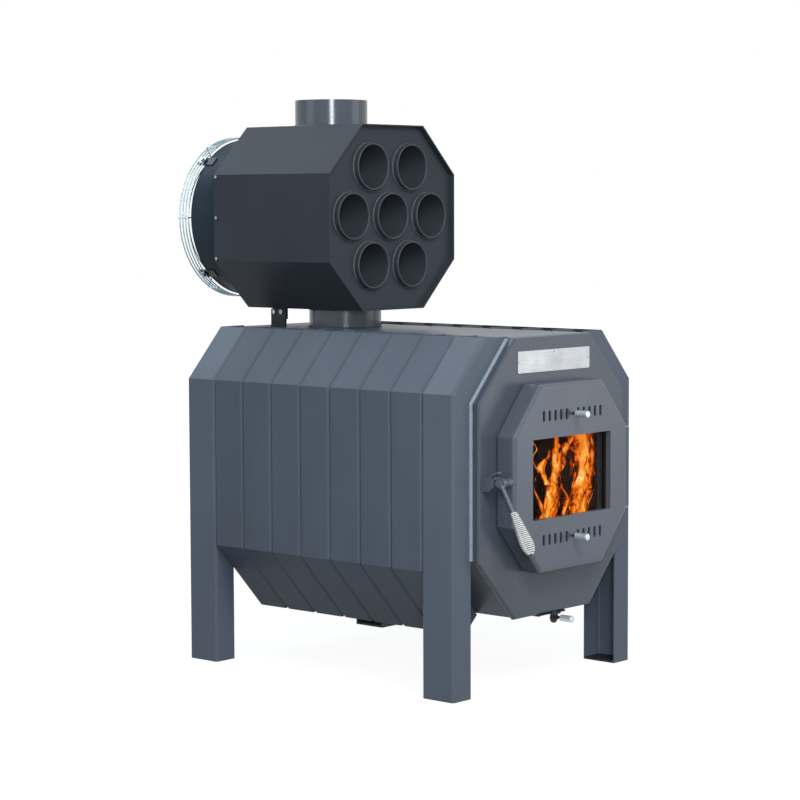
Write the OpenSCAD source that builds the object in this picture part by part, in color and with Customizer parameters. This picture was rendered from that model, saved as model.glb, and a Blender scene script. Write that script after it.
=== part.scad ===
// Workshop wood stove with folded convection channels and a fan-blown tube heat exchanger.
// The front faces -Y. The stove stands on z = 0, and x = 0 is its symmetry plane.

/* [Body] */
// Width over the convection channels
body_w = 600; // [520:5:700]
// Length over the channels, front web to rear web
body_len = 752; // [700:2:800]
// Height of the body's middle above the floor
body_mid = 437; // [420:1:470]
// Half of the upright stretch of the channels
side_half = 179.5; // [165:0.5:190]
// Height of the channels' open upper ends
channel_top = 725; // [715:1:735]
// Lean of the slanted panels from the vertical, in degrees
slant = 42.5; // [40:0.5:45]
// Depth of a channel, from its web to the firebox
channel_depth = 55; // [45:1:65]
// Sheet of the channels and legs
channel_sheet = 3; // [2:0.5:4]
// Outer radius of a channel's folds
channel_fold = 6.5; // [4.5:0.5:8]
// Width of the front leg channels
front_leg_w = 82; // [70:1:90]
// Width of the rear leg channels
rear_leg_w = 82; // [70:1:90]
// Thickness of the foot plates inside the legs
foot_plate = 5; // [4:0.5:8]
// How far the channels' lower ends pass the firebox's edge
tail_over = 6; // [0:0.5:10]

/* [Firebox] */
// Half of the firebox's height
fire_half = 286; // [280:1:292]
// Plate of the firebox
fire_plate = 5; // [4:0.5:7]
// How far the firebox stands ahead of the channels
fire_lead = 11; // [6:1:20]
// Thickness of the liner slabs
liner = 25; // [20:1:30]
// Number of liner slabs along each side
liner_n = 3; // [2:1:4]
// Thickness of the baffle
baffle = 12; // [8:1:20]
// Height of the baffle above the firebox's middle
baffle_rise = 196; // [185:1:205]

/* [Front plate] */
// Depth of the front plate's folded rim
front_rim = 10; // [8:1:14]
// Radius of the front plate's folds
front_fold = 5; // [4:0.5:6]
// How far the front plate's lower half hangs below the firebox
front_drop = 4; // [0:0.5:5]
// Half of the loading opening
mouth_half = 158; // [140:1:160]
// Length of the bare badge plate
badge_w = 242; // [200:1:250]
// Height of the bare badge plate
badge_h = 44.5; // [35:0.5:50]
// Height of the badge plate's middle above the body's middle
badge_rise = 235.5; // [230:0.5:240]

/* [Door] */
// Half of the door's width
door_half_w = 191; // [185:1:195]
// Half of the door's height
door_half_h = 192; // [188:1:196]
// Width cut off at each door corner
door_corner_w = 86; // [75:1:90]
// Height cut off at each door corner
door_corner_h = 101; // [95:1:110]
// Depth of the door tray
door_depth = 44.5; // [40:0.5:50]
// Sheet of the door tray
door_sheet = 3; // [2:0.5:3.5]
// Radius of the door's front folds
door_fold = 8; // [5:0.5:9]
// Half of the window's width
window_half_w = 132; // [120:1:135]
// Half of the window's height
window_half_h = 82; // [70:1:85]
// Depth of the window's folded edge
window_edge = 12; // [10:1:14]
// Thickness of the door glass
glass = 4; // [3:0.5:5]

/* [Air slides] */
// Number of slots on each side of a knob
slots_half = 5; // [3:1:5]
// Distance between slots
slot_pitch = 19.2; // [18:0.1:20]
// Width of a slot
slot_w = 8; // [6:0.5:8.5]
// Height of a slot
slot_h = 23; // [18:0.5:25]
// Height of the upper row above the body's middle
upper_row = 127.5; // [124:0.5:130]
// Drop of the lower row below the body's middle
lower_row = 125; // [122:0.5:130]
// Diameter of the turned knobs
knob_d = 14; // [11:0.5:16]
// Length of a turned knob
knob_len = 31; // [22:1:34]
// Bare rod between a knob and the door
knob_gap = 9; // [8:1:14]
// Diameter of the knob rods
knob_rod_d = 5; // [4:0.5:6]

/* [Latch] */
// Height of the latch pivot above the body's middle
latch_rise = 2; // [0:1:4]
// Diameter of the handle hub
hub_d = 16; // [15:0.5:18]
// Length of the handle hub beside the door
hub_len = 38; // [36:1:42]
// Diameter of the latch shaft
latch_shaft_d = 10; // [8:0.5:11]
// Diameter of the handle rod
handle_rod_d = 9; // [7:0.5:10]
// Length of the handle from its pivot to the grip's end
handle_len = 156; // [150:1:165]
// Lean of the hanging handle ahead of the vertical, in degrees
handle_lean = 30; // [28:1:36]
// Length of the coil grip
grip_len = 93; // [85:1:95]
// Wire of the coil grip
grip_wire = 2.5; // [2.2:0.1:2.7]
// Coils of the grip
grip_turns = 23; // [18:1:24]
// Mean radius of the grip's widest coil
grip_wide = 13; // [11:0.5:14]

/* [Hinge] */
// Diameter of the hinge knuckles
knuckle_d = 14; // [13:0.5:16]
// Diameter of the hinge pin
hinge_pin_d = 8; // [6:0.5:9]
// Length over the five knuckles
hinge_len = 169; // [150:1:175]
// Distance from the door's side to the hinge axis
hinge_out = 12; // [11.5:0.5:14]
// Distance from the front plate to the hinge axis
hinge_ahead = 37; // [35:0.5:40]

/* [Heat exchanger] */
// Half of the exchanger's width
ex_half_w = 205.5; // [202:0.5:212]
// Height of the exchanger's underside
ex_bottom = 764; // [760:1:772]
// Height of the exchanger casing
ex_h = 400; // [394:1:410]
// Cut-off at the casing's corners
ex_corner = 106; // [100:1:110]
// How far the casing's rear end stands behind the body
ex_overhang = 10; // [5:1:20]
// Length of the casing
ex_len = 346.5; // [335:0.5:350]
// Sheet of the casing
ex_sheet = 3; // [2:0.5:4]
// How deep the front tube plate is set
ex_recess = 14; // [8:1:18]
// Plate that carries the tubes
tube_plate = 4; // [3:0.5:5]
// Outside diameter of the air tubes
tube_d = 101.6; // [95:0.1:104]
// Wall of the air tubes
tube_wall = 4.5; // [3:0.5:5]
// Spacing of the tubes across the exchanger
tube_pitch_x = 127; // [124:1:130]
// Spacing of the tube rows
tube_pitch_z = 106; // [104:1:110]
// Height of the tubes' middle above the casing's middle
tube_rise = 3.5; // [0:0.5:6]

/* [Flue] */
// Outside diameter of the flue collars
flue_d = 160; // [140:1:165]
// Wall of the flue collars
flue_wall = 2.5; // [2:0.5:4]
// Height of the flue outlet above the casing
flue_out_h = 57; // [45:1:70]
// Position of the flue outlet behind the casing's front
flue_out_set = 182.5; // [175:0.5:195]
// Position of the lower collar behind the casing's front
flue_in_set = 143.5; // [130:0.5:160]

/* [Fan] */
// Height of casing above the fan duct
duct_margin = 24; // [20:1:30]
// Length of the fan duct
duct_len = 102; // [95:1:115]
// Sheet of the fan duct
duct_sheet = 2; // [1.5:0.5:3]
// Depth of the wire guard behind the duct
guard_deep = 28; // [24:1:34]
// Wire of the guard
guard_wire = 3; // [2.5:0.5:3.5]
// Gap between the impeller's blades and the duct
blade_gap = 7; // [5:0.5:15]
// Number of blades
blade_n = 5; // [4:1:6]
// Diameter of the rotor cup
rotor_d = 104; // [90:1:110]

/* [Bottom air slide] */
// Width of the sliding plate
shutter_w = 81; // [76:1:100]
// Length of the sliding plate
shutter_len = 150; // [140:1:160]
// Travel of the sliding plate
shutter_travel = 60; // [50:1:70]
// Length of the pull knob
pull_knob_len = 30; // [26:1:40]
// Diameter of the stop disc on the pull rod
stop_disc_d = 25; // [20:0.5:26]

/* [Hidden] */
$fn = 64;

// Overrun of every cut
over = 1;
// Thin slice under a blended edge
slice = 0.01;
// Gap between pieces that only lie beside each other
seat_gap = 0.3;
// Radial gap of a shaft that turns or slides in its hole
run_gap = 0.05;

graphite = "#4a5360";
graphite_dark = "#333b45";
duct_blue = "#34495a";
bare_steel = "#b9bec4";
zinc_wire = "#a9bcc6";
cast_grey = "#2c2d2f";
slab_sand = "#a8977c";
rope_grey = "#8d8a84";

// Sheets and small steps that the sizes above do not name
rim_set = 0.5;
front_sheet = 4;
badge_t = 1.5;
rail_lip = 5;
rail_wall = 4;
rail_t = 3;
inner_set = 5;
inner_sheet = 3;
rope_in = 14;
rope_w = 12;
glass_lap = 9;
knob_seat = 9;
bush_len = 21;
bush_wall = 4;
slab_joint = 1;
slab_front = 0;
screw_d = 5;
screw_head_r = 3.5;
screw_head_h = 2.6;
hex_w_share = 1.6;
hex_h_share = 0.65;

// Channel places
channel_n = 7;
channel_w = (body_len - front_leg_w - rear_leg_w) / channel_n;
fold_steps = 4;
fold_high = body_mid + side_half;
fold_low = body_mid - side_half;

// Firebox outline, which lies behind the channels
fire_half_w = body_w / 2 - channel_depth;
fold_shift = channel_depth * tan(slant / 2);
fire_fold = side_half - fold_shift;
fire_cut_h = fire_half - fire_fold;
fire_cut_w = fire_cut_h * tan(slant);
fire_top = body_mid + fire_half;
fire_bottom = body_mid - fire_half;
fire_front = -fire_lead;
fire_rear = body_len - channel_sheet;

// Planes of the front, from the channels forwards
front_face = fire_front - front_rim;
door_gap = 4.5;
door_back = front_face - door_gap;
door_face = door_back - door_depth;
door_inside = door_face + door_sheet;

// Slide plates of the door
slide_sheet = 3;
slide_band = 5.5;
slide_end = 12;
slide_h = slot_h + 2 * slide_band;
slide_w = 2 * slots_half * slot_pitch + slot_w + 2 * slide_end;
slide_travel = slot_pitch / 2;
slide_front = door_inside + seat_gap;

// Latch places
latch_in = 12.4;
latch_y = door_face + latch_in;
latch_z = body_mid + latch_rise;
hub_out = -door_half_w - hub_len;
collar_len = 14;
collar_d = 19;
hook_t = 8;
hook_in = 5;
hook_x = hub_out + hook_in;
rod_in = 7.5;
handle_x = hub_out + rod_in;
keeper_pin_reach = 18;
keeper_pin_rise = 6;
keeper_pin_d = 8;
pin_radius = norm([keeper_pin_reach, keeper_pin_rise]);
pin_gap = 0.6;
beak_in = pin_radius + keeper_pin_d / 2 + pin_gap;
beak_t = 6.5;

// Hinge places
hinge_x = door_half_w + hinge_out;
hinge_y = front_face - hinge_ahead;
hinge_z = body_mid - hinge_len / 2;
knuckle_n = 5;
knuckle_gap = 0.4;
leaf_gap = 2;
knuckle_len = (hinge_len - (knuckle_n - 1) * knuckle_gap) / knuckle_n;
leaf_t = 4;

// Inside the firebox
slab_len = fire_rear - fire_plate - liner - slab_joint - slab_front;
grate_front = 59;
grate_len = 110;
grate_t = 14;
grate_w = 120;
baffle_front = 140;

// Rows and plates on the front
upper_z = body_mid + upper_row;
lower_z = body_mid - lower_row;
badge_z = body_mid + badge_rise;

// Exchanger places
ex_rear = body_len + ex_overhang;
ex_front = ex_rear - ex_len;
ex_top = ex_bottom + ex_h;
ex_mid = ex_bottom + ex_h / 2;
tube_places = [[-0.5, 1], [0.5, 1], [-1, 0], [0, 0], [1, 0], [-0.5, -1], [0.5, -1]];
function tube_x(i) = tube_places[i][0] * tube_pitch_x;
function tube_z(i) = ex_mid + tube_rise + tube_places[i][1] * tube_pitch_z;
flue_in_y = ex_front + flue_in_set;
flue_out_y = ex_front + flue_out_set;
plenum_len = 62;
tube_end = ex_rear - plenum_len;
bracket_x = 98;
bracket_t = 4;
bracket_set = 233.5;
bracket_front = ex_front + bracket_set;
bracket_len = 44;
bracket_gap = 2;
lug_h = 24;
lug_in = bracket_x - 2 * bracket_t - seat_gap;
bolt_drop = 8;
bolt_z = ex_bottom - bolt_drop;
bolt_step = 22;
bolt_d = 6;
nut_t = 5;
screw_edge = 4.5;
screw_step = ex_h / 2 - ex_corner - screw_edge;
screw_in = 9;

// Fan places
duct_d = min(ex_h, 2 * ex_half_w) - 2 * duct_margin;
duct_end = ex_rear + duct_len;
guard_gap = 4;
guard_front = duct_end + guard_gap;
guard_back = guard_front + guard_deep;
strap_t = 3;
guard_r = duct_d / 2 + strap_t + guard_wire / 2;
lag_share = 0.75;
guard_spoke_lag = lag_share * guard_wire;
strap_w = 22;
strap_grip = 26;
strap_past = 17;
strap_end = guard_front + strap_past;
strap_bolt_y = guard_front + guard_deep / 6;
motor_r = 46;
motor_front = duct_end;
motor_shaft_d = 12;
rotor_in = 4;
rotor_rear = duct_end - rotor_in;
rotor_len = 58;
rotor_front = rotor_rear - rotor_len;
rotor_wall = 4;
impeller_d = duct_d - 2 * duct_sheet - 2 * blade_gap;
blade_root = rotor_d / 2 - rotor_wall / 2;
blade_chord = 92;
blade_t = 4;
blade_camber = 7;
blade_sweep = 10;
blade_edge = 0.35;
root_chord_share = 0.72;
added_chord_share = 0.42;
thinning_share = 0.35;
root_stagger = 46;
lost_stagger = 24;

// Bottom shutter places
shutter_sheet = 2;
shutter_flange = 2;
shutter_top = fire_bottom - front_drop + rim_set - 2 * seat_gap;
shutter_front = front_face - seat_gap;
shutter_rear = shutter_front + shutter_len;
rails_in = 4.5;
rails_front = front_face + rails_in;
pull_drop = 13.5;
pull_z = fire_bottom - pull_drop;
pull_rod_d = 7;
disc_t = 3;
pull_knob_out = 20;
pull_knob_y = front_face - pull_knob_out;
port_edge = 12;
port_w = shutter_w - 2 * port_edge;
port_front = shutter_rear - shutter_travel + port_edge / 2;
port_len = shutter_travel - port_edge;

// Grip coil, worked out ring by ring
grip_start = handle_len - grip_len;
grip_end_r = 3.5;
grip_turn_share = 0.72;
grip_swell = 0.9;
rod_end_in = 8;
rings_per_turn = 8;
grip_narrow = (handle_rod_d + grip_wire) / 2 / cos(180 / rings_per_turn);
wire_sides = 6;
function grip_radius(u) = u < grip_turn_share
    ? grip_narrow + (grip_wide - grip_narrow) * pow(u / grip_turn_share, grip_swell)
    : grip_end_r + (grip_wide - grip_end_r) * sqrt(1 - pow((u - grip_turn_share) / (1 - grip_turn_share), 2));
grip_rings = grip_turns * rings_per_turn;
grip_line = [for (i = [0 : grip_rings])
    let (u = i / grip_rings, a = 360 * i / rings_per_turn, r = grip_radius(u))
    [r * cos(a), r * sin(a), -grip_start - grip_wire / 2 - u * (grip_len - grip_wire)]];
function unit(v) = v / norm(v);
function tangent(line, i) = unit(line[min(i + 1, len(line) - 1)] - line[max(i - 1, 0)]);
function ring(line, i, r) =
    let (t = tangent(line, i), out = unit([line[i][0], line[i][1], 0]), side = unit(cross(t, out)), up = cross(side, t))
    [for (k = [0 : wire_sides - 1]) line[i] + r * cos(360 * k / wire_sides) * up + r * sin(360 * k / wire_sides) * side];
least_coil_gap = min([for (i = [0 : grip_rings - rings_per_turn])
    norm(grip_line[i + rings_per_turn] - grip_line[i])]) - grip_wire;
echo(least_coil_gap = least_coil_gap);

grip_points = [for (i = [0 : grip_rings]) for (p = ring(grip_line, i, grip_wire / 2)) p];

// Reach of the whole stove along Y, which centres it over the origin
grip_front = latch_y + min([for (p = grip_points) p[2] * sin(handle_lean) + p[1] * cos(handle_lean)]);
guard_rear = guard_back + guard_spoke_lag + guard_wire / 2;
mid_y = (grip_front + guard_rear) / 2;
echo(mid_y = mid_y, grip_front = grip_front, guard_rear = guard_rear);

// Moves a piece from the body's front plane to the stove's own origin
module placed() {
    translate([0, -mid_y, 0]) children();
}

// A flat shape in X and Z, drawn out along Y from y0 to y1
module along_y(y0, y1) {
    translate([0, y1, 0]) rotate([90, 0, 0]) linear_extrude(y1 - y0) children();
}

// A flat shape in Y and Z, drawn out along X from x0 to x1
module along_x(x0, x1) {
    translate([x0, 0, 0]) rotate([90, 0, 90]) linear_extrude(x1 - x0) children();
}

// A round bar along Y
module bar_y(y0, y1, r) {
    translate([0, y1, 0]) rotate([90, 0, 0]) cylinder(h = y1 - y0, r = r);
}

// A round bar along X
module bar_x(x0, x1, r) {
    translate([x0, 0, 0]) rotate([0, 90, 0]) cylinder(h = x1 - x0, r = r);
}

module both_sides() {
    children();
    mirror([1, 0, 0]) children();
}

// Eight corners of an outline with cut corners, moved inwards by inset
function eight(half_w, half_h, cut_w, cut_h, mid, inset = 0) =
    let (lean = atan(cut_w / cut_h),
         x0 = half_w - inset,
         z0 = half_h - cut_h - inset * tan(lean / 2),
         x1 = half_w - cut_w - inset * tan((90 - lean) / 2),
         z1 = half_h - inset)
    [[x0, mid - z0], [x0, mid + z0], [x1, mid + z1], [-x1, mid + z1],
     [-x0, mid + z0], [-x0, mid - z0], [-x1, mid - z1], [x1, mid - z1]];
function fire_outline(inset = 0) = eight(fire_half_w, fire_half, fire_cut_w, fire_cut_h, body_mid, inset);
function door_outline(inset = 0) = eight(door_half_w, door_half_h, door_corner_w, door_corner_h, body_mid, inset);
function casing_outline(inset = 0) = eight(ex_half_w, ex_h / 2, ex_corner, ex_corner, ex_mid, inset);
mouth_cut_share = 0.42;
mouth_cut_w = mouth_half * mouth_cut_share;
mouth_cut_h = mouth_cut_w / tan(slant);
function mouth_outline(inset = 0) = eight(mouth_half, mouth_half, mouth_cut_w, mouth_cut_h, body_mid, inset);

// The front plate's outline: the firebox's, with its lower half let down
function plate_outline(inset) = [for (p = fire_outline(inset)) p[1] < body_mid ? p - [0, front_drop] : p];

function flat_box(half_w, half_h, mid) =
    [[half_w, mid - half_h], [half_w, mid + half_h], [-half_w, mid + half_h], [-half_w, mid - half_h]];

// Path along a folded U sheet as [depth, side] points, inset from its outer face
function fold_path(width, inset) =
    let (r = channel_fold - inset, h = width / 2 - channel_fold)
    concat([[channel_depth, -h - r]],
           [for (k = [0 : fold_steps]) let (a = 90 * k / fold_steps)
               [channel_fold - r * sin(a), -h - r * cos(a)]],
           [for (k = [fold_steps : -1 : 0]) let (a = 90 * k / fold_steps)
               [channel_fold - r * sin(a), h + r * cos(a)]],
           [[channel_depth, h + r]]);
function backwards(list) = [for (i = [len(list) - 1 : -1 : 0]) list[i]];

// Ends and folds of a channel: where the sheet at a given depth lies, as [x, z]
tail_reach = (body_mid - fire_fold - fire_bottom) / cos(slant) + fold_shift + tail_over;
function on_floor(d) = [body_w / 2 - d, 0];
function on_tail(d) = [body_w / 2 - d * cos(slant) - tail_reach * sin(slant),
                       fold_low + d * sin(slant) - tail_reach * cos(slant)];
function on_low_fold(d) = [body_w / 2 - d, fold_low + d * tan(slant / 2)];
function on_high_fold(d) = [body_w / 2 - d, fold_high - d * tan(slant / 2)];
function on_top(d) =
    let (run = (channel_top - fold_high + d * sin(slant)) / cos(slant))
    [body_w / 2 - d * cos(slant) - run * sin(slant), channel_top];
function on_station(name, d) = name == "floor" ? on_floor(d)
    : name == "tail" ? on_tail(d)
    : name == "low fold" ? on_low_fold(d)
    : name == "high fold" ? on_high_fold(d)
    : on_top(d);

// One sheet folded to a U and bent at its stations, from the bottom upwards
module folded_channel(width, stations) {
    outer = fold_path(width, 0);
    outline = concat(outer, backwards(fold_path(width, channel_sheet)));
    n = len(outline);
    last = (len(stations) - 1) * n;
    points = [for (name = stations) for (p = outline)
        let (q = on_station(name, p[0])) [q[0], p[1], q[1]]];
    walls = [for (i = [0 : len(stations) - 2]) for (k = [0 : n - 1])
        let (p = i * n + k, q = i * n + (k + 1) % n) [p, p + n, q + n, q]];
    foot = [for (k = [0 : len(outer) - 2]) [k, k + 1, n - 2 - k, n - 1 - k]];
    head = [for (f = foot) [last + f[3], last + f[2], last + f[1], last + f[0]]];
    polyhedron(points, concat(walls, foot, head));
}

// The seven folded channels of the right-hand bank
module channel_bank() {
    width = channel_w - seat_gap;
    for (i = [0 : channel_n - 1]) translate([0, front_leg_w + (i + 0.5) * channel_w, 0])
        folded_channel(width, ["tail", "low fold", "high fold", "top"]);
}

module left_channels() {
    color(graphite) placed() mirror([1, 0, 0]) channel_bank();
}

module right_channels() {
    color(graphite) placed() channel_bank();
}

// A leg is a channel whose upright stretch goes down to the floor
module leg(side, y0, width) {
    color(graphite) placed() mirror([side < 0 ? 1 : 0, 0, 0]) translate([0, y0 + width / 2, 0])
        folded_channel(width, ["floor", "high fold", "top"]);
}

// The outer corners of each plate are cut off where the leg's folds are
module foot_plates() {
    inner = channel_depth - channel_sheet - seat_gap;
    cut = channel_fold - channel_sheet;
    color(graphite_dark) placed() both_sides()
        for (place = [[0, front_leg_w], [body_len - rear_leg_w, rear_leg_w]]) {
            wide = place[1] - 2 * channel_sheet - 2 * seat_gap;
            translate([body_w / 2 - channel_depth, place[0] + channel_sheet + seat_gap, 0])
                linear_extrude(foot_plate)
                    polygon([[0, 0], [inner - cut, 0], [inner, cut],
                             [inner, wide - cut], [inner - cut, wide], [0, wide]]);
        }
}

// One folded side wall of the firebox, from the bottom plate to the top plate
module fire_side() {
    along_y(fire_front, fire_rear) intersection() {
        difference() {
            polygon(fire_outline());
            polygon(fire_outline(fire_plate));
        }
        translate([0, fire_bottom + fire_plate]) square([body_w / 2, 2 * (fire_half - fire_plate)]);
    }
}

module firebox_left_wall() {
    color(graphite_dark) placed() mirror([1, 0, 0]) fire_side();
}

module firebox_right_wall() {
    color(graphite_dark) placed() fire_side();
}

module firebox_top() {
    color(graphite_dark) placed() difference() {
        along_y(fire_front, fire_rear) intersection() {
            polygon(fire_outline());
            translate([-body_w / 2, fire_top - fire_plate]) square([body_w, fire_plate]);
        }
        translate([0, flue_in_y, fire_top - fire_plate - over])
            cylinder(h = fire_plate + 2 * over, d = flue_d + 2 * run_gap);
    }
}

module firebox_bottom() {
    color(graphite_dark) placed() difference() {
        along_y(fire_front, fire_rear) intersection() {
            polygon(fire_outline());
            translate([-body_w / 2, fire_bottom]) square([body_w, fire_plate]);
        }
        translate([-port_w / 2, port_front, fire_bottom - over])
            cube([port_w, port_len, fire_plate + 2 * over]);
    }
}

module firebox_rear_wall() {
    color(graphite_dark) placed() along_y(fire_rear - fire_plate, fire_rear) polygon(fire_outline(fire_plate));
}

// A plate with cut corners whose front edge is rounded over, through a list of outlines
module blended_plate(face, back, r, lines) {
    steps = len(lines) - 1;
    hull() {
        for (i = [0 : steps - 1])
            along_y(face + r * (1 - cos(90 * i / steps)), face + r * (1 - cos(90 * i / steps)) + slice)
                polygon(lines[i]);
        along_y(face + r, back) polygon(lines[steps]);
    }
}
edge_steps = 4;

module front_plate() {
    lines = [for (i = [0 : edge_steps]) plate_outline(rim_set + front_fold * (1 - sin(90 * i / edge_steps)))];
    color(graphite) placed() difference() {
        blended_plate(front_face, fire_front, front_fold, lines);
        along_y(front_face + front_sheet, fire_front + over) polygon(plate_outline(rim_set + front_sheet));
        along_y(front_face - over, fire_front + over) polygon(mouth_outline());
    }
}

module badge_plate() {
    corner = 3;
    color(bare_steel) placed() along_y(front_face - badge_t, front_face) translate([0, badge_z]) {
        square([badge_w - 2 * corner, badge_h], center = true);
        square([badge_w, badge_h - 2 * corner], center = true);
        for (sx = [-1, 1], sz = [-1, 1])
            translate([sx * (badge_w / 2 - corner), sz * (badge_h / 2 - corner)]) circle(corner);
    }
}

module badge_rivets() {
    edge = 4;
    head_r = 2;
    head_h = 1;
    color(bare_steel) placed() for (p = [[0, badge_h / 2 - edge], [0, edge - badge_h / 2],
                                        [badge_w / 2 - edge, 0], [edge - badge_w / 2, 0]])
        translate([p[0], 0, badge_z + p[1]]) bar_y(front_face - badge_t - head_h, front_face - badge_t, head_r);
}

slab_line = fire_outline(fire_plate);
slab_back = fire_outline(fire_plate + liner);

// Liner slabs: a shape repeated along the firebox, one slab after the other
module slab_row() {
    pitch = (fire_rear - fire_plate - liner - slab_front) / liner_n;
    for (i = [0 : liner_n - 1])
        along_y(slab_front + i * pitch, slab_front + (i + 1) * pitch - slab_joint) children();
}

// Four-sided section of a slab between corners a and b of the lined wall
module slab_section(a, b) {
    polygon([slab_line[a], slab_line[b], slab_back[b], slab_back[a]]);
}

module wall_slabs() {
    joint = [0, slab_joint];
    color(slab_sand) placed() {
        both_sides() slab_row()
            polygon([slab_line[0] + joint, slab_line[1] - joint, slab_back[1] - joint, slab_back[0] + joint]);
        both_sides() slab_row() intersection() {
            slab_section(1, 2);
            square([body_w / 2, body_mid + baffle_rise - slab_joint]);
        }
        along_y(fire_rear - fire_plate - liner, fire_rear - fire_plate) intersection() {
            polygon(fire_outline(fire_plate + seat_gap));
            translate([-body_w / 2, fire_bottom]) square([body_w, fire_half + baffle_rise - slab_joint]);
        }
    }
}

module floor_slabs() {
    floor_top = fire_bottom + fire_plate + liner;
    color(slab_sand) placed() {
        both_sides() slab_row() intersection() {
            slab_section(7, 0);
            translate([0, floor_top + slab_joint]) square([body_w / 2, body_mid]);
        }
        both_sides() translate([grate_w / 2 + slab_joint, slab_front, fire_bottom + fire_plate])
            cube([fire_half_w - fire_cut_w - grate_w / 2 - fire_plate, slab_len, liner]);
        translate([-grate_w / 2, grate_front + grate_len + slab_joint, fire_bottom + fire_plate])
            cube([grate_w, slab_front + slab_len - grate_front - grate_len - slab_joint, liner]);
    }
}

module grate() {
    bar_w = 9;
    slit_w = 9;
    rim = 12;
    slits = floor((grate_w - 2 * rim + bar_w) / (bar_w + slit_w));
    start = -(slits * slit_w + (slits - 1) * bar_w) / 2;
    color(cast_grey) placed() difference() {
        translate([-grate_w / 2, grate_front, fire_bottom + fire_plate]) cube([grate_w, grate_len, grate_t]);
        for (i = [0 : slits - 1])
            translate([start + i * (bar_w + slit_w), grate_front + rim, fire_bottom + fire_plate - over])
                cube([slit_w, grate_len - 2 * rim, grate_t + 2 * over]);
    }
}

module baffle_plate() {
    z0 = body_mid + baffle_rise;
    color(slab_sand) placed() along_y(baffle_front, fire_rear - fire_plate) intersection() {
        polygon(fire_outline(fire_plate));
        translate([-body_w / 2, z0]) square([body_w, baffle]);
    }
}

// Holes of the casing screws, from x0 to x1 on both sides
module screw_holes(x0, x1) {
    both_sides() for (s = [-1, 0, 1]) translate([0, ex_rear - screw_in, ex_mid + s * screw_step])
        bar_x(x0, x1, screw_d / 2);
}

module exchanger_casing() {
    color(graphite) placed() difference() {
        along_y(ex_front, ex_rear) difference() {
            polygon(casing_outline());
            polygon(casing_outline(ex_sheet));
        }
        translate([0, flue_in_y, ex_bottom - over]) cylinder(h = ex_h / 2, d = flue_d);
        translate([0, flue_out_y, ex_mid]) cylinder(h = ex_h / 2 + over, d = flue_d - 2 * flue_wall);
        screw_holes(ex_half_w - ex_sheet - over, ex_half_w + over);
    }
}

module tube_sheet(y0) {
    color(graphite_dark) placed() difference() {
        along_y(y0, y0 + tube_plate) polygon(casing_outline(ex_sheet));
        for (i = [0 : len(tube_places) - 1]) translate([tube_x(i), 0, tube_z(i)])
            bar_y(y0 - over, y0 + tube_plate + over, tube_d / 2);
    }
}

module front_tube_plate() {
    tube_sheet(ex_front + ex_recess);
}

module rear_tube_plate() {
    tube_sheet(tube_end - tube_plate);
}

// Air tube with a rounded rim at its front end
module air_tube(i) {
    color(graphite) placed() translate([tube_x(i), tube_end, tube_z(i)])
        rotate([90, 0, 0]) rotate_extrude() {
            translate([tube_d / 2 - tube_wall, 0]) square([tube_wall, tube_end - ex_front - tube_wall / 2]);
            translate([(tube_d - tube_wall) / 2, tube_end - ex_front - tube_wall / 2]) circle(d = tube_wall, $fn = 32);
        }
}

module flue_pipe(y, z0, z1) {
    translate([0, y, z0]) difference() {
        cylinder(h = z1 - z0, d = flue_d);
        translate([0, 0, -over]) cylinder(h = z1 - z0 + 2 * over, d = flue_d - 2 * flue_wall);
    }
}

module lower_flue_collar() {
    color(graphite) placed() flue_pipe(flue_in_y, fire_top - fire_plate, ex_bottom + ex_sheet);
}

module flue_outlet_collar() {
    color(graphite) placed() flue_pipe(flue_out_y, ex_top, ex_top + flue_out_h);
}

// Bolts' places along the brackets, for shapes drawn along X
module at_bolts() {
    for (s = [-1, 1]) translate([0, bracket_front + bracket_len / 2 + s * bolt_step / 2, bolt_z]) children();
}

// Plates standing on the firebox and lugs under the casing, bolted together on each side
module support_brackets() {
    color(graphite) placed() both_sides() difference() {
        union() {
            translate([bracket_x - bracket_t, bracket_front, fire_top])
                cube([bracket_t, bracket_len, ex_bottom - fire_top - bracket_gap]);
            translate([lug_in, bracket_front, ex_bottom - lug_h]) cube([bracket_t, bracket_len, lug_h]);
        }
        at_bolts() bar_x(lug_in - over, bracket_x + over, bolt_d / 2);
    }
}

// Screw with a six-sided head, head upwards, its seat at z = 0
module hex_screw(d, head_w, head_h, reach) {
    cylinder(h = head_h, d = head_w / cos(30), $fn = 6);
    translate([0, 0, -reach]) cylinder(h = reach + head_h / 2, d = d);
}

// Bolts whose heads face outwards, each with a nut inside the lug
module bracket_bolts() {
    width = hex_w_share * bolt_d;
    color(bare_steel) placed() both_sides() at_bolts() {
        translate([bracket_x, 0, 0]) rotate([0, 90, 0])
            hex_screw(bolt_d, width, hex_h_share * bolt_d, bracket_x - lug_in + nut_t + over);
        translate([lug_in - nut_t, 0, 0]) rotate([0, 90, 0]) cylinder(h = nut_t, d = width / cos(30), $fn = 6);
    }
}

// Pan-head screws that hold the fan plate in the casing
module casing_screws() {
    color(bare_steel) placed() both_sides() for (s = [-1, 0, 1])
        translate([ex_half_w, ex_rear - screw_in, ex_mid + s * screw_step]) {
            bar_x(0, screw_head_h, screw_head_r);
            bar_x(-ex_sheet - ex_sheet, screw_head_h / 2, screw_d / 2);
        }
}

// Eight-sided plate with a round mouth, whose rim sits inside the casing
module fan_plate() {
    rim = 22;
    color(graphite) placed() difference() {
        along_y(ex_rear - rim, ex_rear) polygon(casing_outline(ex_sheet));
        along_y(ex_rear - rim - over, ex_rear - ex_sheet) polygon(casing_outline(2 * ex_sheet));
        translate([0, 0, ex_mid]) bar_y(ex_rear - rim, ex_rear + over, duct_d / 2);
        screw_holes(ex_half_w - 2 * ex_sheet - over, ex_half_w);
    }
}

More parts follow.
